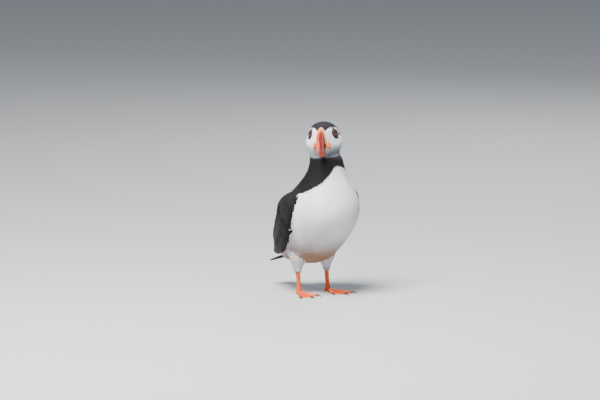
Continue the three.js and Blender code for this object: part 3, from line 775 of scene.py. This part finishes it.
class Feathers:
    """Collects feathers as vanes three points wide, laid along the lie of the coat."""

    def __init__(self):
        self.points, self.faces, self.colours, self.along, self.across, self.uv = [], [], [], [], [], []
        self.total = 0

    def add(self, paths, sides, normals, half_width, crown, colours, patch,
            tip=2.5, tilt=0.0, lines=VANE_ACROSS, shaft=0.0):
        """Feathers along middle lines, n × stations × 3, with the way across and the normal at each.

        crown is how far the middle stands above the edges, tilt how far one edge stands above the other.
        """
        n, stations = paths.shape[:2]
        width = len(lines)
        t = spaced(stations)
        wide = outline(t, tip)
        wide[-1] = max(wide[-1], 0.06)
        half_width = np.broadcast_to(half_width, n)[:, None] * wide[None]
        made = paths[:, :, None, :] + sides[:, :, None, :] * (half_width[:, :, None] * lines)[..., None]
        rise = np.broadcast_to(crown, n)[:, None, None] * (1 - lines**2)[None, None] * wide[None, :, None]
        rise = rise + (tilt * lines + shaft * (np.abs(lines) < 0.04))[None, None] * wide[None, :, None]
        made = made + normals[:, :, None, :] * rise[..., None]
        first = self.total + np.arange(n)[:, None, None] * stations * width
        row = np.arange(stations - 1)[None, :, None] * width
        col = np.arange(width - 1)[None, None]
        a = first + row + col
        quads = np.stack([a, a + 1, a + width + 1, a + width], axis=-1).reshape(-1, 4)
        self.points.append(made.reshape(-1, 3))
        self.faces.append(quads)
        self.colours.append(np.repeat(colours[:, :, None], width, axis=2).reshape(-1, 3))
        self.along.append(np.broadcast_to(t[None, :, None], (n, stations, width)).ravel())
        self.across.append(np.broadcast_to(lines, (n, stations, width)).ravel())
        u = patch[:, None, None, 0] + PATCH * lines[None, None]
        v = patch[:, None, None, 1] + PATCH * (2 * t[None, :, None] - 1)
        self.uv.append(np.stack(np.broadcast_arrays(u, v), axis=-1).reshape(-1, 2))
        self.total += n * stations * width

    def build(self, name, slot, *nodes):
        piece = make_object(name, np.concatenate(self.points), np.concatenate(self.faces))
        paint(piece, "marking", np.concatenate(self.colours))
        paint(piece, "along", np.concatenate(self.along))
        paint(piece, "across", np.concatenate(self.across))
        layer = piece.data.uv_layers.new(name="OFBake")
        corners = read(piece.data.loops, "vertex_index", 1)[:, 0]
        layer.data.foreach_set("uv", np.concatenate(self.uv)[corners].astype(np.float32).ravel())
        finish_piece(piece, FEATHER_LOOK, slot, *nodes)


def coat(name, slot, mask, *, spacing, length, half_width, lift, root_in, loose,
         stations=4, crown=0.25, tint=0.06, pale_edge_and_highlight=0.0, bare=None):
    """A coat of feathers over the masked part of the form, whose sizes may be given at every vertex.

    lift is the tip's height above the form and root_in the root's depth; loose turns feathers out of the lie.
    """
    roots = scattered(mask, spacing)
    here, index = form.on(roots)
    if bare is not None:
        kept = ~bare(here)
        here, index = here[kept], index[kept]
    n = len(here)
    size = np.broadcast_to(length, len(form.points))[index] * random.uniform(0.82, 1.18, n)
    wide = np.broadcast_to(half_width, len(form.points))[index] * random.uniform(0.85, 1.15, n)
    raise_by = np.broadcast_to(lift, len(form.points))[index] * random.uniform(0.75, 1.25, n)
    inset = np.broadcast_to(root_in, len(form.points))[index]
    way = unit(flow[index] + random.normal(0, loose, (n, 3)))
    paths, sides, normals = [], [], []
    at, at_index = here.copy(), index
    places = spaced(stations)
    for k, t in enumerate(places):
        normal = form.normals[at_index]
        way = unit(way - normal * (way * normal).sum(axis=1)[:, None])
        height = -inset * (1 - t) ** 1.15 + raise_by * t
        paths.append(at + normal * height[:, None])
        sides.append(unit(np.cross(way, normal)))
        normals.append(normal)
        if k < stations - 1:
            at, at_index = form.on(at + way * (size * (places[k + 1] - t))[:, None])
            way = unit(way + 0.35 * flow[at_index])
    colours = markings(here + 0.35 * (paths[-1] - here), is_wing[index], is_leg[index])
    colours = colours * random.normal(1, tint, (n, 1)).clip(0.5, 1.6)
    # Lighter towards the tip: partly the feathers' own pale edge, partly a painted highlight on the tips
    colours = np.clip(colours[:, None] * (1 + pale_edge_and_highlight * places[None, :, None] ** 4), 0.003, 0.93)
    plumes = Feathers()
    laid = [np.stack(rows, 1) for rows in (paths, sides, normals)]
    plumes.add(*laid, wide, wide * crown, colours, skin_uv[index])
    plumes.build(name, slot)


NECK_FOOT, MANTLE_FOOT, BELLY_TOP = 138, 116, 88
z = points[:, 2]
_, forward, _ = in_head(points)
is_neck = ~is_head & ~is_wing & ~is_leg & (z + 5 * waver(points, 11, 12) > NECK_FOOT)
is_body = ~is_head & ~is_neck & ~is_wing & ~is_leg
front = np.abs(girth) < 100


def head_bare(places):
    """Where the head grows no feathers: the eyes with their rings, the bill and the wattles."""
    _, ahead, high = in_head(places)
    eye = np.hypot(ahead - EYE_FORWARD, high - EYE_HEIGHT) < EYE_BARE
    bare = eye & (high > -8)
    front = np.flatnonzero(ahead > 12)
    for name in RIMS + ["mouth_rosette_left", "mouth_rosette_right"]:
        bare[front] |= distance_to(name, places[front], 2.0) < (0.4 if name in RIMS else 0.2)
    return bare


in_front_of_eye = np.clip(near_eye / 9, 0.45, 1)
face_length = (1.9 + 1.2 * step(-2, -14, forward)) * in_front_of_eye
coat("head_coat", "face_feathers", is_head, spacing=0.62, length=face_length, half_width=0.42, lift=0.05,
     root_in=np.minimum(depth, 0.8), loose=0.1, tint=0.04, bare=head_bare)
growth = step(168, 118, z)  # the feathers grow longer from the neck down
body = dict(length=3.6 + 3.4 * growth, half_width=0.48 + 0.32 * growth, lift=0.15 + 0.15 * step(100, 50, z),
            root_in=1.2 + 0.4 * growth, stations=5)
coat("neck_coat", "black_feathers", is_neck, spacing=0.95, loose=0.11, **body)
is_front = is_body & front
coat("breast_coat", "white_feathers", is_front & (z > BELLY_TOP), spacing=0.98, loose=0.1, tint=0.03, **body)
coat("belly_coat", "white_feathers", is_front & (z <= BELLY_TOP), spacing=1.0, loose=0.18, tint=0.04, **body)
is_back = is_body & ~front
high_back = z + 6 * waver(points, 12, 15) > MANTLE_FOOT
coat("mantle_coat", "black_feathers", is_back & high_back, spacing=1.8, length=7.5, half_width=1.4, lift=0.25,
     root_in=1.5, loose=0.06, stations=6, crown=0.12, tint=0.14, pale_edge_and_highlight=0.5)
coat("back_coat", "black_feathers", is_back & ~high_back, spacing=2.7, length=10, half_width=2.3, lift=0.3,
     root_in=1.5, loose=0.05, stations=6, crown=0.13, tint=0.16, pale_edge_and_highlight=0.8)
bare_seam = (step(0.02, 0.25, crack) * behind > 0.3) & (z < 136) & (z > 64)
for side_name, side in SIDES.items():
    outward = is_wing & (form.normals[:, 0] * side > 0.12) & (points[:, 1] < 28)
    this_side = np.sign(points[:, 0]) == side
    coat("wing_coat_" + side_name, "black_feathers", outward & this_side, spacing=2.3, length=6.5,
         half_width=1.9, lift=0.12, root_in=0.9, loose=0.05, stations=5, crown=0.13, tint=0.15, pale_edge_and_highlight=0.7)
    coat("scapulars_" + side_name, "black_feathers", bare_seam & this_side, spacing=3.0, length=15,
         half_width=3.2, lift=0.6, root_in=0.6, loose=0.05, stations=7, crown=0.12, tint=0.16, pale_edge_and_highlight=0.8)
coat("leg_coat", "white_feathers", is_leg, spacing=0.95, length=4.5, half_width=0.55, lift=0.2, root_in=0.9,
     loose=0.16, stations=5)


# ---------- Long feathers of the folded wings and the tail ----------
FLIGHT_LINES = np.array([-1.0, -0.5, -0.07, 0.0, 0.07, 0.5, 1.0])
FLIGHT = linear(30, 27, 28)
WING_TIP_YZ = np.array([52.0, 43.5])


def wing_sheet(side):
    """The outer face of a folded wing as a lookup from its side view: y and z to a place and a normal."""
    outer = np.flatnonzero((points[:, 0] * side > 0) & (form.normals[:, 0] * side > 0.2) & is_wing)
    tree = KDTree(len(outer))
    for i in outer:
        tree.insert((points[i, 1], points[i, 2], 0), i)
    tree.balance()

    def drop(y, z):
        _, i, gap = tree.find((y, z, 0))
        place, normal = points[i], form.normals[i]
        slide = -(normal[1] * (y - place[1]) + normal[2] * (z - place[2])) / normal[0]
        return place[0] + np.clip(slide, -1.2, 1.2) - side * 0.1 * max(0, gap - 1), normal, i

    return drop


def bend(start, control, end, count=18):
    t = spaced(count)[:, None]
    return (1 - t) ** 2 * start + 2 * t * (1 - t) * control + t**2 * end


def soften(values, rounds=4):
    for _ in range(rounds):
        values[1:-1] = (values[:-2] + 2 * values[1:-1] + values[2:]) / 4
    return values


def flight_feather(plumes, drop, side, line, half_width, low, high, tilt, tone, tip=3.0):
    """One long feather on a wing, over a line in the side view, from one height above the wing to another."""
    found = [drop(y, z) for y, z in line]
    path = np.column_stack([soften(np.array([f[0] for f in found])), line])
    normal = unit(soften(np.array([f[1] for f in found]), 6))
    way = unit(np.gradient(path, axis=0))
    t = spaced(len(line))
    path = path + normal * lerp(low, high, t)[:, None]
    across = unit(np.cross(way, normal))
    # Lighter towards the tip: partly the feather's own pale edge, partly a painted highlight
    shade = tone * random.normal(1, 0.1) * (1 + 0.35 * t**5)[:, None]
    shade = np.clip(shade, 0.003, 1)
    plumes.add(path[None], across[None], normal[None], half_width, 0.22 * half_width, shade[None],
               skin_uv[[found[0][2]]], tip=tip, tilt=tilt * side, lines=FLIGHT_LINES, shaft=0.12)


def lerp(a, b, t):
    return a + (b - a) * t


def along_wing(plumes, drop, side):
    def row(count, first, last, way, length, half_width, low, high, tilt, tone=FLIGHT):
        """A row of feathers whose tips run from one place to another, given in the wing's side view."""
        for k in range(count):
            share = k / (count - 1)
            tip = lerp(np.array(first, float), np.array(last, float), share) + random.normal(0, 0.35, 2)
            heading = unit(lerp(np.array(way[0], float), np.array(way[1], float), share))
            reach = lerp(length[0], length[1], share)
            start = tip - heading * reach
            line = bend(start, tip - heading * reach * 0.5, tip)
            flight_feather(plumes, drop, side, line, half_width, low, high, tilt, tone)

    for k in range(8):
        share = k / 7
        start = lerp(np.array([-24.0, 84]), np.array([-8.0, 92]), share)
        control = lerp(np.array([-6.0, 47.5]), np.array([8.0, 66]), share)
        end = WING_TIP_YZ + lerp(np.array([0.0, 0.0]), np.array([-15.0, 14.0]), share**1.1)
        line = bend(start, control, end, 26)
        flight_feather(plumes, drop, side, line, 3.6, 0.15, 0.5, 0.35, FLIGHT, tip=3.5)
    down_back = (0.80, -0.60)
    row(10, (22, 57), (29.5, 72), (down_back, (0.62, -0.78)), (34, 36), 3.3, 0.5, 0.9, 0.4)
    row(11, (-4, 62), (17, 92), (down_back, (0.62, -0.78)), (18, 20), 3.1, 0.7, 1.1, 0.35, BLACK)
    row(11, (-15, 72), (8, 103), (down_back, (0.6, -0.8)), (12, 13), 2.8, 0.8, 1.2, 0.3, BLACK)


for side_name, side in SIDES.items():
    plumes = Feathers()
    along_wing(plumes, wing_sheet(side), side)
    plumes.build("flight_feathers_" + side_name, "black_feathers")

TAIL_ROOT = np.array([0, 36.3, 43.2])
TAIL_LENGTH, TAIL_DROOP, TAIL_SPREAD, TAIL_COUNT = 38, 14, 9, 12
tail = Feathers()
for k in sorted(range(TAIL_COUNT), key=lambda k: -abs(k - (TAIL_COUNT - 1) / 2)):
    u = 2 * k / (TAIL_COUNT - 1) - 1
    turn, drop_by = math.radians(TAIL_SPREAD * u), math.radians(TAIL_DROOP)
    level = math.cos(drop_by)
    way = np.array([math.sin(turn) * level, math.cos(turn) * level, -math.sin(drop_by)])
    t = spaced(20)[:, None]
    root = TAIL_ROOT + [7.2 * u, 0, -3.2 * abs(u)]
    line = root + way * t * (TAIL_LENGTH - 2.5 * u * u) - np.array([0, 0, 1.2]) * t**2
    normal = unit(np.cross(way, [-1.0, 0, 0]) + [0.6 * u, 0, 0])
    normals = np.broadcast_to(normal, line.shape)
    across = unit(np.cross(np.broadcast_to(way, line.shape), normals))
    # Lighter towards the tip: partly the feather's own pale edge, partly a painted highlight
    tone = np.clip(FLIGHT * random.normal(1, 0.1) * (1 + 0.4 * t**5), 0.003, 1)
    near_root = form.nearest([root])
    tail.add(line[None], across[None], normals[None], 3.9, 0.5, tone[None], skin_uv[near_root],
             tip=3.5, lines=FLIGHT_LINES, shaft=0.14)
tail.build("tail_feathers", "black_feathers", "tail")


# ---------- Bill ----------
BILL = {
    "base": 20.0, "tip": 52.0, "top": 8.0, "mouth": -10.5, "bottom": -24.5, "tip_top": -9.5, "hook": 3.2,
    "upper_width": 5.7, "lower_width": 6.2, "tip_width": 1.7,
}  # the solids' own profile
BILL_GAP = 0.35
RED = linear(196, 26, 14)
RED_DEEP = linear(120, 14, 12)
TIP_RED = linear(236, 120, 96)
CULMEN_ORANGE = linear(236, 104, 40)
CHEVRON = linear(248, 180, 104)
SLATE = linear(36, 42, 68)
SLATE_EDGE = linear(24, 26, 40)
CERE = linear(238, 198, 146)
CERE_ORANGE = linear(238, 140, 62)


def culmen(s):
    arc = (1 - s**2.15) ** 0.62
    return lerp(BILL["tip_top"], BILL["top"], arc) + 1.6 * np.sin(np.pi * s) * (1 - s)


def mouth_line(s):
    return BILL["mouth"] - 0.8 * np.sin(np.pi * s) - 1.6 * s


def upper_edge(s):
    return mouth_line(s) - BILL["hook"] * np.maximum(0, (s - 0.86) / 0.14) ** 1.5 + BILL_GAP / 2


def gonys(s):
    return lerp(BILL["bottom"], mouth_line(1.0) - 2.2, s**1.45)


def lower_edge(s):
    return mouth_line(s) - BILL_GAP / 2


def upper_width(s):
    return lerp(BILL["upper_width"], BILL["tip_width"], s**0.85)


def lower_width(s):
    return lerp(BILL["lower_width"], BILL["tip_width"] * 0.8, s**0.7)


def base_lean(z):
    """How far the bill's base leans forward above and below the mouth."""
    return np.where(z > BILL["mouth"], 1.2, 3.0) * ((z - BILL["mouth"]) / 22) ** 2


UPPER = (upper_edge, culmen, upper_width, 1.9, 0.92)  # with the ridge's width and the fullness of the section
LOWER = (lower_edge, gonys, lower_width, 1.4, 1.02)
TIP_CLOSING = 0.08  # of the bill's length, over which it rounds off to its tip


def tube(count, around, closed=False):
    """Faces between rings of points; a closed tube goes on from its last ring to its first."""
    i, j = np.meshgrid(np.arange(count if closed else count - 1), np.arange(around), indexing="ij")
    after, beside = (i + 1) % count * around, (j + 1) % around
    return np.stack([i * around + j, i * around + beside, after + beside, after + j], -1).reshape(-1, 4)


def loft(rings):
    """Points and faces of a tube through rings of equal point count, with its two ends closed by fans."""
    count, around = rings.shape[:2]
    centres = np.array([rings[0].mean(axis=0), rings[-1].mean(axis=0)])
    i = np.arange(around)
    j = (i + 1) % around
    last, middle = (count - 1) * around, np.full(around, count * around)
    ends = np.concatenate([np.stack([middle, j, i], 1), np.stack([middle + 1, last + i, last + j], 1)])
    return np.concatenate([rings.reshape(-1, 3), centres]), [tube(count, around), ends]


def mandible(name, slot, node, span, profile, relief, tones, look, tipped=True, extra=0.0):
    """Half of the bill, or of its raised base, as a fine loft.

    The span is from and to along it; relief and tones give height and colour by place, s along and h up.
    """
    edge, ridge, width, ridge_width, fullness = profile
    steps, half = (110, 26) if tipped else (34, 60)
    angle = np.linspace(0, np.pi / 2, half)
    across, height = np.cos(angle) ** fullness, np.sin(angle) ** 1.05
    across[-1] = 0
    closing = np.ones(steps)
    s = lerp(*span, np.linspace(0, 1, steps))
    if tipped:
        s = lerp(*span, np.sin(np.linspace(0, np.pi / 2, steps)))
        closing = np.sqrt(np.clip(1 - ((s - span[1] + TIP_CLOSING) / TIP_CLOSING).clip(0) ** 2, 0.015, 1))
    within = np.clip(s, 0, 1)
    z0, z1 = edge(within), ridge(within)
    wide = width(within)[:, None]
    h = np.broadcast_to(height, (steps, half))
    ridged = np.minimum(wide, ridge_width) * (1 - height**6) ** 0.5 * step(1.0, 0.8, height)
    x = np.maximum(wide * across, ridged)
    z = z0[:, None] + (z1 - z0)[:, None] * h
    way = np.where(z1 > z0, 1, -1)[:, None]
    raised = relief(within[:, None] + 0 * h, h) + extra
    z = z + way * raised * np.sin(angle)[None] ** 2
    x = (x + raised * np.cos(angle)[None] * (x > 0)) * closing[:, None]
    ahead = BILL["base"] + (BILL["tip"] - BILL["base"]) * s[:, None] + base_lean(z) * (1 - s[:, None])
    left = on_head(x, ahead, z)
    right = on_head(-x, ahead, z)[:, -2::-1]
    rings = np.concatenate([left, right], axis=1)
    tone = tones(within[:, None] + 0 * h, h)
    tone = np.concatenate([tone, tone[:, -2::-1]], axis=1)
    made, faces = loft(rings if way[0] < 0 else rings[:, ::-1])
    tone = tone if way[0] < 0 else tone[:, ::-1]
    colours = np.concatenate([tone.reshape(-1, 3), [tone[0].mean(axis=0), tone[-1].mean(axis=0)]])
    piece = make_object(name, made, faces)
    paint(piece, "marking", np.clip(colours * (1 + 0.12 * waver(made, 4, 21))[:, None], 0.002, 1))
    finish_piece(piece, look, slot, node)


def chevron_at(h):
    """Where along the upper bill the slate base ends, at a height from mouth to culmen."""
    return 0.5 - 0.06 * h - 0.34 * h**2.2


def groove(s, h, at, tilt, width=0.016):
    return np.exp(-(((s - (at - tilt * h**1.6)) / width) ** 2))


def grooved_red(s, h, places):
    lines = sum(groove(s, h, at, tilt, 0.02) for at, tilt in places)
    return mix(RED, RED_DEEP, 0.75 * lines.clip(0, 1))


UPPER_GROOVES = [(0.66, 0.22), (0.78, 0.16), (0.89, 0.1)]
LOWER_GROOVES = [(0.62, 0.12), (0.76, 0.1)]


def upper_relief(s, h):
    raised = 0.5 * np.exp(-(((s - chevron_at(h)) / 0.03) ** 2))
    flat = step(0.0, 0.06, chevron_at(h) - s) * -0.25
    grooves = sum(groove(s, h, at, tilt) for at, tilt in UPPER_GROOVES)
    return raised + flat - 0.5 * grooves * step(0.95, 0.75, h) - 0.3 * groove(s, h, 0.17, 0.1, 0.012)


def upper_tones(s, h):
    outer = grooved_red(s, h, UPPER_GROOVES)
    outer = mix(outer, CULMEN_ORANGE, step(0.86, 0.99, h) * (1 - step(0.25, 0.75, s)))
    outer = mix(outer, TIP_RED, 0.5 * step(0.86, 1.0, s))
    gap = chevron_at(h) - s
    base = mix(SLATE, SLATE_EDGE, step(0.05, 0.0, gap) * 0.6 + 0.4 * step(0.1, 0.0, s))
    colour = mix(outer, base, step(0.012, 0.03, gap) * step(0.98, 0.9, h))
    return mix(colour, CHEVRON, np.exp(-((gap / 0.028) ** 2)) * step(1.02, 0.93, h) * 0.95)


def lower_chevron(h):
    return 0.44 - 0.1 * h - 0.14 * h**2


def lower_relief(s, h):
    raised = 0.4 * np.exp(-(((s - lower_chevron(h)) / 0.03) ** 2))
    return raised - 0.45 * sum(groove(s, h, at, tilt) for at, tilt in LOWER_GROOVES) * step(0.95, 0.75, h)


def lower_tones(s, h):
    outer = grooved_red(s, h, LOWER_GROOVES)
    outer = mix(outer, CULMEN_ORANGE, 0.4 * step(0.7, 1.0, h))
    gap = lower_chevron(h) - s
    colour = mix(outer, SLATE, step(0.012, 0.03, gap) * step(0.95, 0.8, h))
    return mix(colour, CHEVRON, np.exp(-((gap / 0.03) ** 2)) * 0.95)


def cere_relief(s, h):
    return 0.18 * np.sin(h * 40) * np.sin(s * 300)


def cere_tones(s, h):
    return mix(CERE, CERE_ORANGE, step(0.05, 0.085, s) * 0.35 + step(0.8, 1.0, h) * 0.35)


def lower_cere_relief(s, h):
    return cere_relief(s, h) - 0.5 * step(0.4, 0.9, h)


def lower_cere_tones(s, h):
    return mix(cere_tones(s, h), RED, 0.85 * step(0.35, 0.85, h))


HORN, CERE_LOOK = horn_look(), pitted_look()
mandible("bill_above", "bill_horn", "bill_upper", (0.085, 1), UPPER, upper_relief, upper_tones, HORN)
mandible("bill_below", "bill_horn", "bill_lower", (0.068, 0.93), LOWER, lower_relief, lower_tones, HORN)
mandible("cere_above", "bill_rim", "bill_rim_upper", (-0.16, 0.078), UPPER, cere_relief, cere_tones,
         CERE_LOOK, tipped=False, extra=1.0)
mandible("cere_below", "bill_rim", "bill_rim_lower", (-0.16, 0.062), LOWER, lower_cere_relief,
         lower_cere_tones, CERE_LOOK, tipped=False, extra=0.95)


# ---------- Eyes, rings, plates, wattles, claws and bare legs ----------
def node_points(name):
    return read_points(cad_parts[name].data)


def lathe(radii, heights, centre, axis, around, closed=False):
    """Points and faces turned about an axis, from a profile that runs pole to pole or, closed, is a loop."""
    spin = np.linspace(0, 2 * np.pi, around, endpoint=False)
    first = unit(np.cross(axis, [0, 0, 1.0]))
    second = np.cross(axis, first)
    circle = np.cos(spin)[:, None] * first + np.sin(spin)[:, None] * second
    rings = centre + radii[:, None, None] * circle[None] + heights[:, None, None] * axis
    return rings.reshape(-1, 3), tube(len(radii), around, closed)


IRIS = linear(52, 20, 14)
IRIS_EDGE = linear(30, 12, 10)
PUPIL = linear(6, 5, 6)
# red of the eye ring, darkened as painted shade
RING_RED_SHADED = linear(58, 9, 6)
PLATE_GREY = linear(38, 42, 54)
ROSETTE, ROSETTE_DEEP = linear(255, 136, 0), linear(232, 84, 0)
LEG, LEG_DEEP, ANKLE = linear(236, 100, 4), linear(204, 66, 4), linear(150, 60, 30)
CLAW, CLAW_TOP = linear(34, 28, 28), linear(88, 70, 62)
EYE_SIDES = 56


EYE_LOOK = eye_look()
RING_LOOK = wrinkled_look("eye_ring", 2600, 0.6, 1.0, 0.45, 0.7)
PLATE_LOOK = wrinkled_look("horny_plate", 1500, 0.75, 1.0, 0.4, 0.6)
WATTLE_LOOK = wrinkled_look("mouth_rosette", 1300, 0.55, 1.05, 0.35, 0.55, 0.0005)
LEG_LOOK = wrinkled_look("bare_leg", 950, 0.62, 1.03, 0.4, 0.62, 0.0004)
CLAW_LOOK = wrinkled_look("claw", 700, 0.9, 1.0, 0.25, 0.4, 0.0001)


def painted_piece(name, made, faces, tone, look, slot, *nodes):
    piece = make_object(name, made, faces)
    paint(piece, "marking", tone)
    finish_piece(piece, look, slot, *nodes)


def refined(names, voxel, rounds, by=0.0):
    """The named solids as one fine surface with its edges softened."""
    surface = remeshed(names, by, voxel)
    surface.smooth(rounds)
    surface.refresh()
    return surface


for side_name in SIDES:
    ring_points = node_points("eye_ring_" + side_name)
    ring_centre = ring_points.mean(axis=0)
    eye_points = node_points("eye_" + side_name)
    eye_centre = eye_points.mean(axis=0)
    eye_radius = np.linalg.norm(eye_points - eye_centre, axis=1).max()
    axis = unit(ring_centre - eye_centre)
    polar = np.linspace(0.001, np.pi - 0.001, 60)
    radius = eye_radius + 0.15 * np.exp(-((polar / 0.5) ** 2))
    made, faces = lathe(radius * np.sin(polar), radius * np.cos(polar), eye_centre, axis, EYE_SIDES)
    from_axis = np.repeat(np.where(polar < 1.57, radius * np.sin(polar), 9), EYE_SIDES)
    tone = mix(PUPIL, IRIS, step(1.35, 1.6, from_axis))
    tone = mix(tone, IRIS_EDGE, step(2.4, 3.1, from_axis))
    painted_piece("eyeball_" + side_name, made, faces[:, ::-1], tone, EYE_LOOK, "eye", "eye_" + side_name)

    loop = np.linspace(0, 2 * np.pi, 20, endpoint=False)
    across = np.linalg.norm(np.cross(ring_points - ring_centre, axis), axis=1)
    middle, half = (across.max() + across.min()) / 2, (across.max() - across.min()) / 2
    made, faces = lathe(middle + half * np.cos(loop), half * np.sin(loop), ring_centre, axis, 90, closed=True)
    made = made + (made - ring_centre) * (0.02 * waver(made, 1.3, 31))[:, None]
    # The eye ring's red, darkened as painted shade, with random variation
    tone = np.clip(RING_RED_SHADED * (1 + 0.3 * waver(made, 1.5, 32))[:, None], 0.003, 1)
    painted_piece("eyelid_" + side_name, made, faces, tone, RING_LOOK, "eye_ring", "eye_ring_" + side_name)

    for level in ("upper", "lower"):
        ending = "%s_%s" % (level, side_name)
        surface = refined(["eye_plate_" + ending], 0.16, 40)
        tone = np.clip(PLATE_GREY * (1 + 0.25 * waver(surface.points, 2, 33))[:, None], 0.003, 1)
        painted_piece("plate_" + ending, surface.points, surface.triangles, tone, PLATE_LOOK, "horny_plate",
                      "eye_plate_" + ending)

    surface = refined(["mouth_rosette_" + side_name], 0.2, 6, 0.1)
    centre = surface.points.mean(axis=0)
    surface.points = centre + (surface.points - centre) * 1.2
    _, ahead, high = in_head(surface.points)
    _, c_ahead, c_high = in_head(centre[None])
    turn = np.arctan2(high - c_high, ahead - c_ahead)
    away = np.hypot(high - c_high, ahead - c_ahead)
    lobes = np.sin(7 * turn + away * 0.8)
    surface.points += surface.normals * (0.32 * lobes * step(0.4, 1.6, away))[:, None]
    tone = mix(ROSETTE, ROSETTE_DEEP, 0.5 - 0.5 * lobes)
    painted_piece("rosette_" + side_name, surface.points, surface.triangles, tone, WATTLE_LOOK,
                  "mouth_rosette", "mouth_rosette_" + side_name)

    surface = refined(["tarsus_" + side_name, "foot_" + side_name], 0.5, 6, 0.22)
    surface.points -= surface.normals * 0.15
    surface.points[:, 2] = np.maximum(surface.points[:, 2], 0.0)
    tone = mix(LEG, LEG_DEEP, np.clip(0.5 + 0.7 * waver(surface.points, 6, 34), 0, 1))
    tone = mix(tone, ANKLE, 0.5 * np.exp(-(((surface.points[:, 2] - 29) / 4) ** 2)))
    painted_piece("bare_leg_" + side_name, surface.points, surface.triangles, tone, LEG_LOOK, "foot_skin",
                  "tarsus_" + side_name, "foot_" + side_name)

    for toe in ("inner", "middle", "outer"):
        ending = "%s_%s" % (toe, side_name)
        surface = refined(["claw_" + ending], 0.2, 5, 0.05)
        tip = surface.points[:, 2] / max(surface.points[:, 2].max(), 1e-3)
        tone = mix(CLAW, CLAW_TOP, np.clip(tip * 0.6, 0, 1))
        painted_piece("nail_" + ending, surface.points, surface.triangles, tone, CLAW_LOOK, "claw",
                      "claw_" + ending)


# ---------- Floor ----------
FLOOR_HALF = 15000
corners = FLOOR_HALF * np.array([[-1, -1, 0], [1, -1, 0], [1, 1, 0], [-1, 1, 0]])
floor = make_object("floor", corners, np.array([[0, 1, 2, 3]]), smooth=False)
floor.data.materials.append(floor_look().material)
